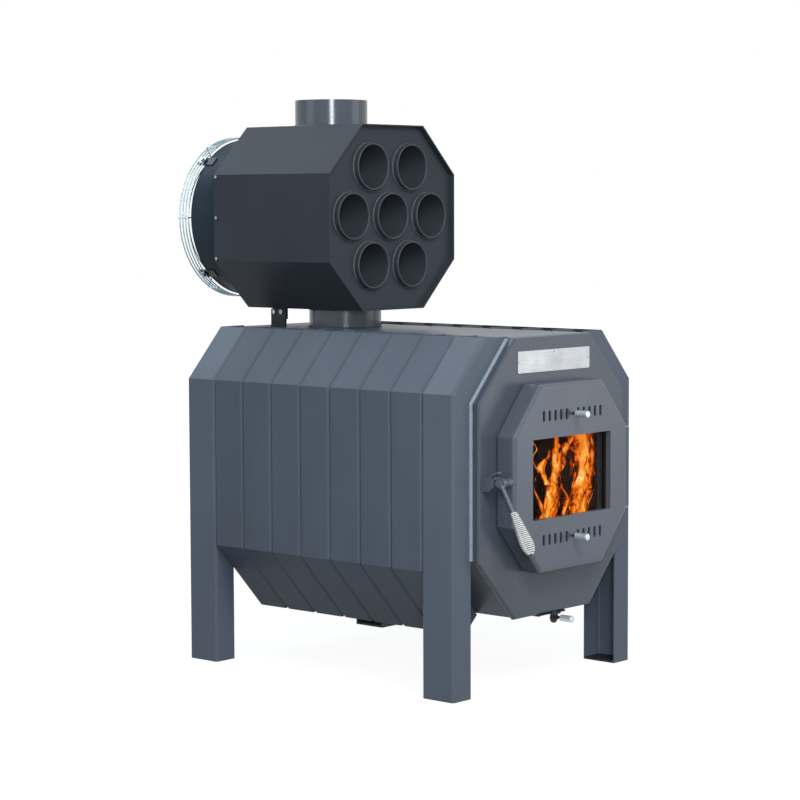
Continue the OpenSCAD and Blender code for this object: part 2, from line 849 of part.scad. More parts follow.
module fan_duct() {
    color(duct_blue) placed() translate([0, 0, ex_mid]) difference() {
        bar_y(ex_rear - ex_sheet, duct_end, duct_d / 2);
        bar_y(ex_rear - ex_sheet - over, duct_end + over, duct_d / 2 - duct_sheet);
    }
}

module around_fan(n, start) {
    for (i = [0 : n - 1]) translate([0, 0, ex_mid]) rotate([0, start + 360 * i / n, 0]) children();
}

module guard_straps() {
    color(graphite_dark) placed() around_fan(4, 45) intersection() {
        difference() {
            bar_y(duct_end - strap_grip, strap_end, duct_d / 2 + strap_t);
            bar_y(duct_end - strap_grip - over, strap_end + over, duct_d / 2);
        }
        difference() {
            translate([0, duct_end - strap_grip - over, -strap_w / 2])
                cube([duct_d, strap_end - duct_end + strap_grip + 2 * over, strap_w]);
            translate([0, strap_bolt_y, 0]) bar_x(0, duct_d, screw_d / 2);
        }
    }
}

module guard_bolts() {
    washer_r = 9;
    washer_t = 1.5;
    head_w = 9;
    head_h = 4;
    reach = washer_t + strap_t + guard_wire + head_h;
    color(bare_steel) placed() around_fan(4, 45) translate([guard_r + guard_wire / 2, strap_bolt_y, 0]) {
        bar_x(0, washer_t, washer_r);
        translate([washer_t, 0, 0]) rotate([0, 90, 0]) hex_screw(screw_d, head_w, head_h, reach);
    }
}

// Wire rings of the guard as [radius, place along Y]
guard_rings = concat(
    [for (i = [0 : 3]) [guard_r, guard_front + guard_deep * i / 3]],
    [for (i = [1 : 5]) [guard_r + (motor_r - guard_wire / 2 - guard_r) * i / 5, guard_back]]);

module fan_guard() {
    spokes = 6;
    lag = guard_spoke_lag;
    color(zinc_wire) placed() {
        for (g = guard_rings) translate([0, g[1], ex_mid]) rotate([90, 0, 0])
            rotate_extrude($fn = 96) translate([g[0], 0]) circle(d = guard_wire, $fn = 16);
        around_fan(spokes, 0) {
            translate([guard_r + lag, 0, 0]) bar_y(guard_front - guard_wire, guard_back + lag, guard_wire / 2, $fn = 16);
            translate([guard_r + lag, guard_back + lag, 0]) sphere(d = guard_wire, $fn = 16);
            translate([0, guard_back + lag, 0])
                bar_x(motor_r - 2 * guard_wire, guard_r + lag, guard_wire / 2, $fn = 16);
        }
    }
}

module fan_motor() {
    color(cast_grey) placed() translate([0, 0, ex_mid]) {
        bar_y(motor_front, guard_back - guard_wire / 2, motor_r);
        bar_y(rotor_front, motor_front + over, motor_shaft_d / 2);
    }
}

// Blade sections: half profile of a cambered plate, wrapped round the axis at each radius
blade_steps = 8;
blade_stations = 7;
function blade_radius(j) = blade_root + (impeller_d / 2 - blade_root) * j / (blade_stations - 1);
function blade_point(j, t, side) =
    let (u = j / (blade_stations - 1),
         r = blade_radius(j),
         chord = blade_chord * (root_chord_share + added_chord_share * u),
         stagger = root_stagger - lost_stagger * u,
         thick = blade_t * (1 - thinning_share * u) * sqrt(max(0, 1 - 4 * t * t)) / 2 + blade_edge,
         along = t * chord * cos(stagger) + blade_sweep * u * u,
         rise = t * chord * sin(stagger) + blade_camber * (1 - 4 * t * t) + side * thick,
         a = along / r * 180 / PI)
    [r * sin(a), rise, r * cos(a)];
blade_loop = concat([for (k = [0 : blade_steps]) [k / blade_steps - 0.5, 1]],
                    [for (k = [blade_steps : -1 : 0]) [k / blade_steps - 0.5, -1]]);
blade_points = [for (j = [0 : blade_stations - 1]) for (q = blade_loop) blade_point(j, q[0], q[1])];

module fan_blade() {
    n = len(blade_loop);
    last = (blade_stations - 1) * n;
    half = blade_steps;
    walls = [for (j = [0 : blade_stations - 2]) for (k = [0 : n - 1]) for (h = [0, 1])
        let (p = j * n + k, q = j * n + (k + 1) % n) h == 0 ? [p, q + n, p + n] : [p, q, q + n]];
    ends = [for (k = [0 : half - 1]) for (h = [0, 1]) let (p = k, q = n - 1 - k)
        h == 0 ? [p, q, q - 1] : [p, q - 1, p + 1]];
    tips = [for (e = ends) [last + e[0], last + e[2], last + e[1]]];
    polyhedron(blade_points, concat(walls, ends, tips));
}

module fan_impeller() {
    color(cast_grey) placed() translate([0, 0, ex_mid]) difference() {
        union() {
            difference() {
                bar_y(rotor_front, rotor_rear, rotor_d / 2);
                bar_y(rotor_front + rotor_wall, rotor_rear + over, rotor_d / 2 - rotor_wall);
            }
            bar_y(rotor_front, rotor_rear - rotor_wall, motor_shaft_d);
            for (i = [0 : blade_n - 1]) rotate([0, 360 * i / blade_n, 0])
                translate([0, (rotor_front + rotor_rear) / 2 - blade_camber / 2, 0]) fan_blade();
        }
        bar_y(rotor_front - over, rotor_rear, motor_shaft_d / 2 + run_gap);
    }
}

// Seat of the shutter under the firebox, with a lipped rail along each side
module shutter_rails() {
    wall_x = shutter_w / 2 + run_gap + seat_gap;
    wall_low = shutter_top - shutter_sheet - seat_gap - shutter_flange;
    seat_front = fire_front + seat_gap;
    seat_low = shutter_top + seat_gap;
    color(graphite_dark) placed() difference() {
        union() {
            translate([-wall_x - rail_wall, seat_front, seat_low])
                cube([2 * (wall_x + rail_wall), shutter_rear - seat_front, fire_bottom - seat_low]);
            both_sides() {
                translate([wall_x, seat_front, wall_low])
                    cube([rail_wall, shutter_rear - seat_front, fire_bottom - wall_low]);
                translate([wall_x, rails_front, wall_low])
                    cube([rail_wall, shutter_rear - rails_front, shutter_top - wall_low]);
                translate([wall_x - rail_lip, rails_front, wall_low])
                    cube([rail_lip + rail_wall, shutter_rear - rails_front, shutter_flange]);
            }
        }
        translate([-port_w / 2, port_front, shutter_top])
            cube([port_w, port_len, fire_bottom - shutter_top + over]);
    }
}

// Sliding plate with a round stop at its front end and the rod of its knob
module bottom_shutter() {
    color(graphite_dark) placed() {
        translate([-shutter_w / 2, shutter_front - disc_t / 2, shutter_top - shutter_sheet])
            cube([shutter_w, shutter_len + disc_t / 2, shutter_sheet]);
        translate([0, 0, pull_z]) {
            bar_y(shutter_front - disc_t, shutter_front, stop_disc_d / 2);
            bar_y(pull_knob_y - knob_seat, shutter_front - disc_t / 2, pull_rod_d / 2);
        }
    }
}

// Turned knob with eased edges and a blind hole for its rod, its seat at y
module knob(y, len, rod_d) {
    ease = 1.2;
    color(bare_steel) placed() translate([0, y, 0]) rotate([90, 0, 0]) difference() {
        rotate_extrude() polygon([[0, 0], [knob_d / 2 - ease, 0], [knob_d / 2, ease],
            [knob_d / 2, len - ease], [knob_d / 2 - ease, len], [0, len]]);
        translate([0, 0, -over]) cylinder(h = knob_seat + over, d = rod_d);
    }
}

module shutter_knob() {
    translate([0, 0, pull_z]) knob(pull_knob_y, pull_knob_len, pull_rod_d);
}

function knuckle_low(i) = hinge_z + i * (knuckle_len + knuckle_gap);

// Knuckles number i of the hinge, joined to a bar that starts at x0
module knuckle(i) {
    translate([hinge_x, hinge_y, knuckle_low(i)]) cylinder(h = knuckle_len, d = knuckle_d);
}

module hinge_frame_leaf() {
    plate_x = hinge_x + knuckle_d / 2 - leaf_t;
    color(graphite) placed() difference() {
        union() {
            translate([plate_x, hinge_y + knuckle_d / 2 + leaf_gap, hinge_z])
                cube([leaf_t, front_face - hinge_y - knuckle_d / 2 - leaf_gap, hinge_len]);
            for (i = [0 : 2 : knuckle_n - 1]) {
                knuckle(i);
                translate([plate_x, hinge_y, knuckle_low(i)]) cube([leaf_t, front_face - hinge_y, knuckle_len]);
            }
        }
        translate([hinge_x, hinge_y, hinge_z - over]) cylinder(h = hinge_len + 2 * over, d = hinge_pin_d);
    }
}

module hinge_door_leaf() {
    arm_t = 6;
    base_t = 3;
    color(graphite) placed() difference() {
        union() {
            translate([door_half_w, hinge_y - knuckle_d / 2, hinge_z])
                cube([base_t, door_back - hinge_y, hinge_len]);
            for (i = [1 : 2 : knuckle_n - 1]) {
                knuckle(i);
                translate([door_half_w, hinge_y - arm_t / 2, knuckle_low(i)]) cube([hinge_out, arm_t, knuckle_len]);
            }
        }
        translate([hinge_x, hinge_y, hinge_z - over])
            cylinder(h = hinge_len + 2 * over, d = hinge_pin_d + 2 * run_gap);
    }
}

module hinge_pin() {
    head_h = 2.5;
    head_in = 1;
    color(bare_steel) placed() translate([hinge_x, hinge_y, hinge_z]) {
        cylinder(h = hinge_len, d = hinge_pin_d);
        for (z = [-head_h, hinge_len]) translate([0, 0, z]) cylinder(h = head_h, r = knuckle_d / 2 - head_in);
    }
}

// Two cheeks with a pin between them; a curved finger rises from the outer cheek
module latch_keeper() {
    cheek_t = 6;
    half_w = 14;
    reach = 26;
    top = 10.5;
    low = 18;
    nose_top = 5;
    nose_low = 8;
    top_share = 0.8;
    low_share = 0.6;
    finger_rise = 14;
    finger_reach = 27;
    finger_t = 4;
    mid_x = hook_x + hook_t / 2;
    back = front_face - latch_y;
    color(graphite) placed() translate([mid_x, latch_y, latch_z]) {
        for (s = [-1, 1])
            along_x(s * (half_w - cheek_t / 2) - cheek_t / 2, s * (half_w - cheek_t / 2) + cheek_t / 2)
                polygon([[back, -low], [back, top], [back - reach * top_share, top],
                    [back - reach, nose_top], [back - reach, -nose_low], [back - reach * low_share, -low]]);
        translate([0, keeper_pin_reach, keeper_pin_rise])
            bar_x(-half_w + cheek_t / 2, half_w - cheek_t / 2, keeper_pin_d / 2);
        along_x(-half_w, -half_w + cheek_t) translate([back - reach * top_share + finger_t - finger_reach, nose_top])
            intersection() {
                difference() {
                    resize([2 * finger_reach, 2 * (finger_rise + top - nose_top)]) circle(finger_reach);
                    resize([2 * (finger_reach - finger_t), 2 * (finger_rise + top - nose_top - finger_t)])
                        circle(finger_reach);
                }
                square([finger_reach, finger_rise + top]);
            }
    }
}

module door_shell() {
    fold_in = door_fold - door_sheet;
    lines = [for (i = [0 : edge_steps]) door_outline(door_fold * (1 - sin(90 * i / edge_steps)))];
    inner_lines = [for (i = [0 : edge_steps]) door_outline(door_sheet + fold_in * (1 - sin(90 * i / edge_steps)))];
    color(graphite) placed() difference() {
        union() {
            difference() {
                blended_plate(door_face, door_back, door_fold, lines);
                blended_plate(door_inside, door_back + over, fold_in, inner_lines);
            }
            along_y(door_face + over, door_face + window_edge)
                polygon(flat_box(window_half_w + door_sheet, window_half_h + door_sheet, body_mid));
            translate([0, latch_y, latch_z])
                bar_x(-door_half_w + over, -door_half_w + bush_len, latch_shaft_d / 2 + bush_wall);
        }
        along_y(door_face - over, door_back + over) polygon(flat_box(window_half_w, window_half_h, body_mid));
        for (z = [upper_z, lower_z]) {
            slot_row(z, door_face - over, door_inside + over);
            rod_slot(z, door_face - over, door_inside + over);
        }
        translate([0, latch_y, latch_z])
            bar_x(-door_half_w - over, -door_half_w + bush_len + over, latch_shaft_d / 2 + run_gap);
    }
}

// Upright slots with round ends on both sides of the knob
module slot_row(z, y0, y1) {
    along_y(y0, y1) for (side = [-1, 1], i = [1 : slots_half]) translate([side * i * slot_pitch, z]) {
        square([slot_w, slot_h - slot_w], center = true);
        for (s = [-1, 1]) translate([0, s * (slot_h - slot_w) / 2]) circle(d = slot_w);
    }
}

// Level slot that a knob rod slides along
module rod_slot(z, y0, y1) {
    d = knob_rod_d + 2 * seat_gap;
    along_y(y0, y1) translate([0, z]) {
        translate([0, -d / 2]) square([slide_travel, d]);
        for (x = [0, slide_travel]) translate([x, 0]) circle(d = d);
    }
}

module air_slide(z) {
    color(graphite_dark) placed() {
        difference() {
            translate([-slide_w / 2, slide_front, z - slide_h / 2]) cube([slide_w, slide_sheet, slide_h]);
            slot_row(z, slide_front - over, slide_front + slide_sheet + over);
        }
        translate([0, 0, z])
            bar_y(door_face - knob_gap - knob_seat, slide_front + slide_sheet / 2, knob_rod_d / 2);
    }
}

module upper_air_slide() {
    air_slide(upper_z);
}

module lower_air_slide() {
    air_slide(lower_z);
}

module upper_knob() {
    translate([0, 0, upper_z]) knob(door_face - knob_gap, knob_len, knob_rod_d);
}

module lower_knob() {
    translate([0, 0, lower_z]) knob(door_face - knob_gap, knob_len, knob_rod_d);
}

// Lipped rails above and below each air slide
module slide_rails() {
    back = slide_front + slide_sheet + seat_gap;
    color(graphite_dark) placed() for (z = [upper_z, lower_z], s = [0, 1])
        translate([0, 0, z]) mirror([0, 0, s]) {
            translate([-slide_w / 2, door_inside, slide_h / 2 + seat_gap])
                cube([slide_w + slide_travel, back - door_inside + rail_t, rail_wall]);
            translate([-slide_w / 2, back, slide_h / 2 + seat_gap - rail_lip])
                cube([slide_w + slide_travel, rail_t, rail_lip + rail_wall]);
        }
}

module door_inner_plate() {
    inner_lap = 3;
    y0 = door_back - inner_set - inner_sheet;
    color(graphite_dark) placed() along_y(y0, y0 + inner_sheet) difference() {
        polygon(door_outline(door_sheet));
        polygon(mouth_outline(inner_lap));
    }
}

// Rope seal between the door and the front plate
module door_gasket() {
    color(rope_grey) placed() along_y(door_back - inner_set, front_face - seat_gap) difference() {
        polygon(door_outline(rope_in));
        polygon(door_outline(rope_in + rope_w));
    }
}

module door_glass() {
    color("#2a2320") placed() along_y(door_face + window_edge, door_face + window_edge + glass)
        polygon(flat_box(window_half_w + glass_lap, window_half_h + glass_lap, body_mid));
}

// Folded frame that holds the glass against the window's edge
module glass_retainer() {
    slack = 0.5;
    view_in = 2;
    out = glass_lap + slack;
    sheet = 2.5;
    rear = door_face + window_edge + glass + sheet;
    color(graphite_dark) placed() difference() {
        along_y(door_inside, rear)
            polygon(flat_box(window_half_w + out + sheet, window_half_h + out + sheet, body_mid));
        along_y(door_inside - over, rear - sheet)
            polygon(flat_box(window_half_w + out, window_half_h + out, body_mid));
        along_y(door_inside - over, rear + over)
            polygon(flat_box(window_half_w + view_in, window_half_h + view_in, body_mid));
    }
}

// Hub, shaft, hook and rod of the handle, welded together
module door_handle() {
    lug_wall = 2;
    ring_r = 11;
    stop_t = 3;
    lug_d = handle_rod_d + 2 * lug_wall;
    lug_len = hub_d / 2 + lug_wall + lug_wall;
    color(graphite) placed() translate([0, latch_y, latch_z]) {
        bar_x(hub_out, -door_half_w - seat_gap, hub_d / 2);
        bar_x(-door_half_w - seat_gap - collar_len, -door_half_w - seat_gap, collar_d / 2);
        bar_x(-door_half_w - hub_len / 2, -door_half_w + bush_len + seat_gap + stop_t, latch_shaft_d / 2);
        bar_x(-door_half_w + bush_len + seat_gap, -door_half_w + bush_len + seat_gap + stop_t, hub_d / 2);
        bar_x(hook_x, hook_x + hook_t, ring_r);
        along_x(hook_x, hook_x + hook_t) hook_shape();
        translate([handle_x, 0, 0]) rotate([-handle_lean, 0, 0]) {
            translate([0, 0, rod_end_in - handle_len]) cylinder(h = handle_len - rod_end_in, d = handle_rod_d);
            translate([0, 0, -lug_len]) cylinder(h = lug_len, d = lug_d);
        }
    }
}

// Arm and beak of the hook around the keeper pin, pivot at the origin
module hook_shape() {
    arm_low = -25;
    arm_high = 2;
    beak_high = 28;
    out = beak_in + beak_t;
    wedge = out + beak_t;
    intersection() {
        difference() {
            circle(out);
            difference() {
                circle(beak_in);
                polygon([[0, 0], wedge * [cos(arm_low), sin(arm_low)], wedge * [cos(arm_high), sin(arm_high)]]);
            }
        }
        polygon([[0, 0], wedge * [cos(arm_low), sin(arm_low)], wedge * [cos(arm_high), sin(arm_high)],
            wedge * [cos(beak_high), sin(beak_high)]]);
    }
}

// Wound wire as one unbroken tube
module handle_grip() {
    n = wire_sides;
    last = grip_rings * n;
    walls = [for (i = [0 : grip_rings - 1]) for (k = [0 : n - 1]) for (h = [0, 1])
        let (p = i * n + k, q = i * n + (k + 1) % n) h == 0 ? [p, p + n, q + n] : [p, q + n, q]];
    caps = [[for (k = [0 : n - 1]) k], [for (k = [n - 1 : -1 : 0]) last + k]];
    color(bare_steel) placed() translate([handle_x, latch_y, latch_z]) rotate([-handle_lean, 0, 0])
        polyhedron(grip_points, concat(walls, caps));
}

firebox_left_wall();
firebox_right_wall();
firebox_bottom();
firebox_top();
firebox_rear_wall();
front_plate();
left_channels();
right_channels();
leg(-1, 0, front_leg_w);  // front_left_leg
leg(1, 0, front_leg_w);  // front_right_leg
leg(-1, body_len - rear_leg_w, rear_leg_w);  // rear_left_leg
leg(1, body_len - rear_leg_w, rear_leg_w);  // rear_right_leg
foot_plates();
floor_slabs();
wall_slabs();
grate();
baffle_plate();
badge_plate();
badge_rivets();
exchanger_casing();
front_tube_plate();
rear_tube_plate();
for (i = [0 : len(tube_places) - 1]) air_tube(i);
lower_flue_collar();
flue_outlet_collar();
support_brackets();
bracket_bolts();
casing_screws();
fan_plate();
fan_duct();
guard_straps();
guard_bolts();
fan_guard();
fan_motor();
fan_impeller();
shutter_rails();
bottom_shutter();
shutter_knob();
hinge_frame_leaf();
hinge_pin();
latch_keeper();
door_shell();
door_inner_plate();
door_gasket();
door_glass();
glass_retainer();
hinge_door_leaf();
slide_rails();
upper_air_slide();
upper_knob();
lower_air_slide();
lower_knob();
door_handle();
handle_grip();
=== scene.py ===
"""Workshop stove: finishes, fire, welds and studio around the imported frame."""

import math

import bpy
import numpy as np
from bpy.props import FloatProperty, FloatVectorProperty, IntProperty, PointerProperty
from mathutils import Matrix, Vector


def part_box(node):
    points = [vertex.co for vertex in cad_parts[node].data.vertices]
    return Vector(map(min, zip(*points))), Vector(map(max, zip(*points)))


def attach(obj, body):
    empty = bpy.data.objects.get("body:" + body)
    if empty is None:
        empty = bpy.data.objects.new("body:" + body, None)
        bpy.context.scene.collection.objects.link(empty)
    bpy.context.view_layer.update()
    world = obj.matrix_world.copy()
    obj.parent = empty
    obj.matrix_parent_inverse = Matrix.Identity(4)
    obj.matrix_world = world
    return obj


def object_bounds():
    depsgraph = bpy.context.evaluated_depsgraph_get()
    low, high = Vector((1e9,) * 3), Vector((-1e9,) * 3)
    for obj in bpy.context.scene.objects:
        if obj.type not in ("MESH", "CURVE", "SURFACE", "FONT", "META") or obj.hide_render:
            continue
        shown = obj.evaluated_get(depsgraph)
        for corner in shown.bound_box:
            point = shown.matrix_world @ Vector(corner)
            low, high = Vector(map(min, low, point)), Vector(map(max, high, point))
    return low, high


bl_info = {
    "name": "Workshop Stove",
    "version": (1, 0, 0),
    "blender": (4, 5, 0),
    "location": "View3D > Sidebar > Stove",
    "description": "Finishes, fire and welds of a workshop stove with a tube heat exchanger",
    "category": "Object",
}

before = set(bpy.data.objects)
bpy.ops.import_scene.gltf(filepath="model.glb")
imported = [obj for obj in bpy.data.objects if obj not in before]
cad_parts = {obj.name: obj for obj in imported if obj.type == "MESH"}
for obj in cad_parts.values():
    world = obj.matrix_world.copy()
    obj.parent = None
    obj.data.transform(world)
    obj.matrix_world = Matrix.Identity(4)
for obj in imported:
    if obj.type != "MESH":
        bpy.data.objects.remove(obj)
CAD_LOW, CAD_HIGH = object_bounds()
LOW, HIGH = 0, 1
X, Y, Z = 0, 1, 2
FULL_TURN = 2 * math.pi


def edge(node, end, axis):
    """Where a CAD node begins or ends along an axis, in metres."""
    return float(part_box(node)[end][axis])


def middle_and_radius(node):
    """Middle of a CAD node's box, and half its width."""
    low, high = (np.array(end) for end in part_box(node))
    return (low + high) / 2, (high[X] - low[X]) / 2


BODY_TOP = edge("front_plate", HIGH, Z)
PLATE_BACK = edge("front_plate", HIGH, Y)
LEG_FACE = edge("front_left_leg", LOW, Y)
REAR_FACE = edge("rear_left_leg", HIGH, Y)
AIR_TUBES = sorted(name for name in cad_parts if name.startswith("air_tube_"))


class StoveFinish(bpy.types.PropertyGroup):
    """Colours and textures of the stove's finishes."""

    coat: FloatVectorProperty(
        name="Powder coat", description="Colour of the body's graphite coat",
        subtype="COLOR", size=3, min=0, max=1, default=(0.076, 0.092, 0.116))
    exchanger: FloatVectorProperty(
        name="Exchanger coat", description="Colour of the heat exchanger's coat",
        subtype="COLOR", size=3, min=0, max=1, default=(0.045, 0.052, 0.064))
    dark: FloatVectorProperty(
        name="Inner steel", description="Colour of painted inner steel",
        subtype="COLOR", size=3, min=0, max=1, default=(0.020, 0.022, 0.027))
    duct: FloatVectorProperty(
        name="Fan duct", description="Colour of the fan duct",
        subtype="COLOR", size=3, min=0, max=1, default=(0.030, 0.046, 0.062))
    slab: FloatVectorProperty(
        name="Liner slab", description="Colour of the sooty liner slabs",
        subtype="COLOR", size=3, min=0, max=1, default=(0.035, 0.027, 0.020))
    iron: FloatVectorProperty(
        name="Grate iron", description="Colour of the cast grate",
        subtype="COLOR", size=3, min=0, max=1, default=(0.012, 0.011, 0.011))
    fan: FloatVectorProperty(
        name="Fan black", description="Colour of the fan's motor and blades",
        subtype="COLOR", size=3, min=0, max=1, default=(0.018, 0.018, 0.020))
    badge: FloatVectorProperty(
        name="Badge steel", description="Colour of the brushed badge plate",
        subtype="COLOR", size=3, min=0, max=1, default=(0.40, 0.41, 0.42))
    knob: FloatVectorProperty(
        name="Knob steel", description="Colour of the turned knobs",
        subtype="COLOR", size=3, min=0, max=1, default=(0.66, 0.72, 0.77))
    spring: FloatVectorProperty(
        name="Spring steel", description="Colour of the grip's wound wire",
        subtype="COLOR", size=3, min=0, max=1, default=(0.90, 0.90, 0.88))
    bolt: FloatVectorProperty(
        name="Bolt steel", description="Colour of the bolts, the screws and the hinge pin",
        subtype="COLOR", size=3, min=0, max=1, default=(0.30, 0.33, 0.36))
    guard: FloatVectorProperty(
        name="Guard zinc", description="Colour of the fan guard's wire",
        subtype="COLOR", size=3, min=0, max=1, default=(0.40, 0.54, 0.60))
    guard_bolt: FloatVectorProperty(
        name="Guard bolt zinc", description="Colour of the fan guard's bolts",
        subtype="COLOR", size=3, min=0, max=1, default=(0.30, 0.36, 0.40))
    rope: FloatVectorProperty(
        name="Seal rope", description="Colour of the door's seal rope",
        subtype="COLOR", size=3, min=0, max=1, default=(0.10, 0.10, 0.09))
    peel: FloatProperty(
        name="Coat grain", description="Size of the powder coat's grain",
        subtype="DISTANCE", unit="LENGTH", min=0.0003, max=0.01, default=0.0016)
    gloss: FloatProperty(
        name="Coat roughness", description="Roughness of the powder coat",
        subtype="FACTOR", min=0.1, max=1, default=0.36)
    shine: FloatProperty(
        name="Coat specular", description="Strength of the powder coat's reflections",
        subtype="FACTOR", min=0, max=1, default=0.20)


class StoveFire(bpy.types.PropertyGroup):
    """Logs and flames."""

    logs: IntProperty(
        name="Logs", description="Number of logs on the fire", min=1, max=8, default=5)
    log_radius: FloatProperty(
        name="Log radius", description="Mean radius of a log",
        subtype="DISTANCE", unit="LENGTH", min=0.02, max=0.08, default=0.042)
    log_length: FloatProperty(
        name="Log length", description="Length of a log",
        subtype="DISTANCE", unit="LENGTH", min=0.2, max=0.5, default=0.40)
    glow: FloatProperty(
        name="Glow", description="Brightness of the flames", min=0, max=10, default=1.0)
    width: FloatProperty(
        name="Flame width", description="Share of their drawn width that the flames have",
        subtype="FACTOR", min=0.3, max=2.5, default=1.3)


class StoveWelds(bpy.types.PropertyGroup):
    """Sizes of the weld beads."""

    bead: FloatProperty(
        name="Bead", description="Radius of the weld round the tubes and the collars",
        subtype="DISTANCE", unit="LENGTH", min=0.001, max=0.006, default=0.0026)
    rim: FloatProperty(
        name="Rim bead", description="Radius of the weld between the body and its front",
        subtype="DISTANCE", unit="LENGTH", min=0.002, max=0.008, default=0.0052)
    ripple: FloatProperty(
        name="Ripple", description="Distance between the ripples of a bead",
        subtype="DISTANCE", unit="LENGTH", min=0.001, max=0.01, default=0.0036)
    slant: FloatProperty(
        name="Slant", description="Lean of the body's slanted sides from upright",
        subtype="ANGLE", unit="ROTATION", min=0.5, max=1, default=math.radians(42.5))


class StoveStudio(bpy.types.PropertyGroup):
    """Floor, lights and camera."""

    fill: FloatProperty(
        name="Fill", description="Strength of the light from all round", min=0, max=2, default=0.40)
    floor_albedo: FloatProperty(
        name="Floor", description="How much light the floor throws back",
        subtype="FACTOR", min=0.05, max=0.9, default=0.14)
    floor_near: FloatProperty(
        name="Floor by the stove",
        description="Brightness of the floor beside the stove, where 1 is white",
        subtype="FACTOR", min=0, max=1, default=0.93)
    lens: FloatProperty(
        name="Lens", description="Focal length of the camera in millimetres",
        subtype="DISTANCE_CAMERA", unit="CAMERA", min=20, max=300, default=106.575)


def put_mesh(name, points, faces, material, uv=None):
    """Makes a smooth mesh object from whole arrays, gives it its material, and lets it ride on the body."""
    mesh = bpy.data.meshes.new(name)
    mesh.from_pydata(points.reshape(-1, 3).tolist(), [], [face for block in faces for face in block.tolist()])
    mesh.update()
    if uv is not None:
        layer = mesh.uv_layers.new(name="shape")
        loops = np.empty(len(mesh.loops), np.int32)
        mesh.loops.foreach_get("vertex_index", loops)
        layer.data.foreach_set("uv", uv.reshape(-1, 2)[loops].astype(np.float32).ravel())
    mesh.polygons.foreach_set("use_smooth", np.full(len(mesh.polygons), True))
    mesh.materials.append(material)
    piece = bpy.data.objects.new(name, mesh)
    bpy.context.scene.collection.objects.link(piece)
    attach(piece, "stove")
    return piece


def sheet_faces(rows, cols, wrap=False):
    """Quads of a grid: each point is joined to the next in its row and to the two above them, and wrap
    joins the last column to the first."""
    span = cols if wrap else cols - 1
    row, col = np.meshgrid(np.arange(rows - 1), np.arange(span), indexing="ij")
    here, beside = row * cols + col, row * cols + (col + 1) % cols
    return np.stack([here, beside, beside + cols, here + cols], -1).reshape(-1, 4)


def closed_form(rings):
    """Points and faces of a tube of rings whose two ends are closed by a fan to their middle point."""
    rows, cols = rings.shape[:2]
    points = np.concatenate([rings.reshape(-1, 3), rings[:1].mean(1), rings[-1:].mean(1)])
    here = np.arange(cols)
    beside = (here + 1) % cols
    start, last = rows * cols, (rows - 1) * cols
    first_fan = np.stack([np.full(cols, start), beside, here], -1)
    last_fan = np.stack([np.full(cols, start + 1), last + here, last + beside], -1)
    return points, [sheet_faces(rows, cols, wrap=True), first_fan, last_fan]


def ring_form(rings):
    """Points and faces of a bead that runs round and meets itself: a grid that wraps both ways."""
    rows, cols = rings.shape[:2]
    row, col = np.meshgrid(np.arange(rows), np.arange(cols), indexing="ij")
    beside, above = (col + 1) % cols, ((row + 1) % rows) * cols
    quads = np.stack([row * cols + col, row * cols + beside, above + beside, above + col], -1)
    return rings.reshape(-1, 3), [quads.reshape(-1, 4)]


def join_forms(forms):
    """Several (points, faces) pairs as one, with each pair's faces counted on from the pair before."""
    points, faces, first = [], [], 0
    for form_points, blocks in forms:
        points.append(form_points.reshape(-1, 3))
        faces += [block + first for block in blocks]
        first += len(points[-1])
    return np.concatenate(points), faces


def along(path, step, closed):
    """Points spaced evenly along a polyline, about step apart, and the distance to each of them."""
    path = np.asarray(path, float)
    if closed:
        path = np.concatenate([path, path[:1]])
    run = np.concatenate([[0], np.cumsum(np.linalg.norm(np.diff(path, axis=0), axis=1))])
    s = np.linspace(0, run[-1], int(round(run[-1] / step)) + 1)
    if closed:
        s = s[:-1]
    return np.stack([np.interp(s, run, path[:, axis]) for axis in (X, Y, Z)], -1), s


def circle_path(centre, radius, axis, count):
    """Points of a circle square to the y or the z axis: cosine and sine of evenly spaced turns."""
    turn = np.linspace(0, FULL_TURN, count, endpoint=False)
    across, up, flat = radius * np.cos(turn), radius * np.sin(turn), np.zeros(count)
    return np.asarray(centre, float) + np.stack((across, flat, up) if axis == Y else (across, up, flat), -1)


def bead_rings(path, radius, ripple, across, closed=False, sides=8, rings_per_ripple=4,
               swell=0.16, drift=0.05, drift_pace=0.7, lag=0.5):
    """Rings of a weld bead: a round section carried along the path.

    Its radius swells by a sine wave once per ripple and drifts by a slower one, and the sides of each
    section are carried forward by lag radii, like overlapping drops. across is a direction square to
    the path that fixes where a section starts."""
    line, s = along(path, ripple / rings_per_ripple, closed)
    ahead = np.roll(line, -1, 0) - np.roll(line, 1, 0)
    if not closed:
        ahead[0], ahead[-1] = line[1] - line[0], line[-1] - line[-2]
    ahead /= np.linalg.norm(ahead, axis=1, keepdims=True)
    up = np.cross(ahead, np.broadcast_to(np.asarray(across, float), line.shape))
    up /= np.linalg.norm(up, axis=1, keepdims=True)
    side = np.cross(up, ahead)
    turn = np.linspace(0, FULL_TURN, sides, endpoint=False)
    cos, sin = np.cos(turn)[None, :, None], np.sin(turn)[None, :, None]
    size = radius * (1 + swell * np.sin(FULL_TURN * s / ripple) + drift * np.sin(s / radius * drift_pace + 1))
    section = size[:, None, None] * (cos * side[:, None] + sin * up[:, None])
    return line[:, None] + section + lag * radius * cos ** 2 * ahead[:, None]


# Sockets of a Mix node that mixes colours
MIX_SHARE, MIX_FIRST, MIX_SECOND, MIX_RESULT = 0, 6, 7, 2
BLACK, WHITE = (0, 0, 0), (1, 1, 1)


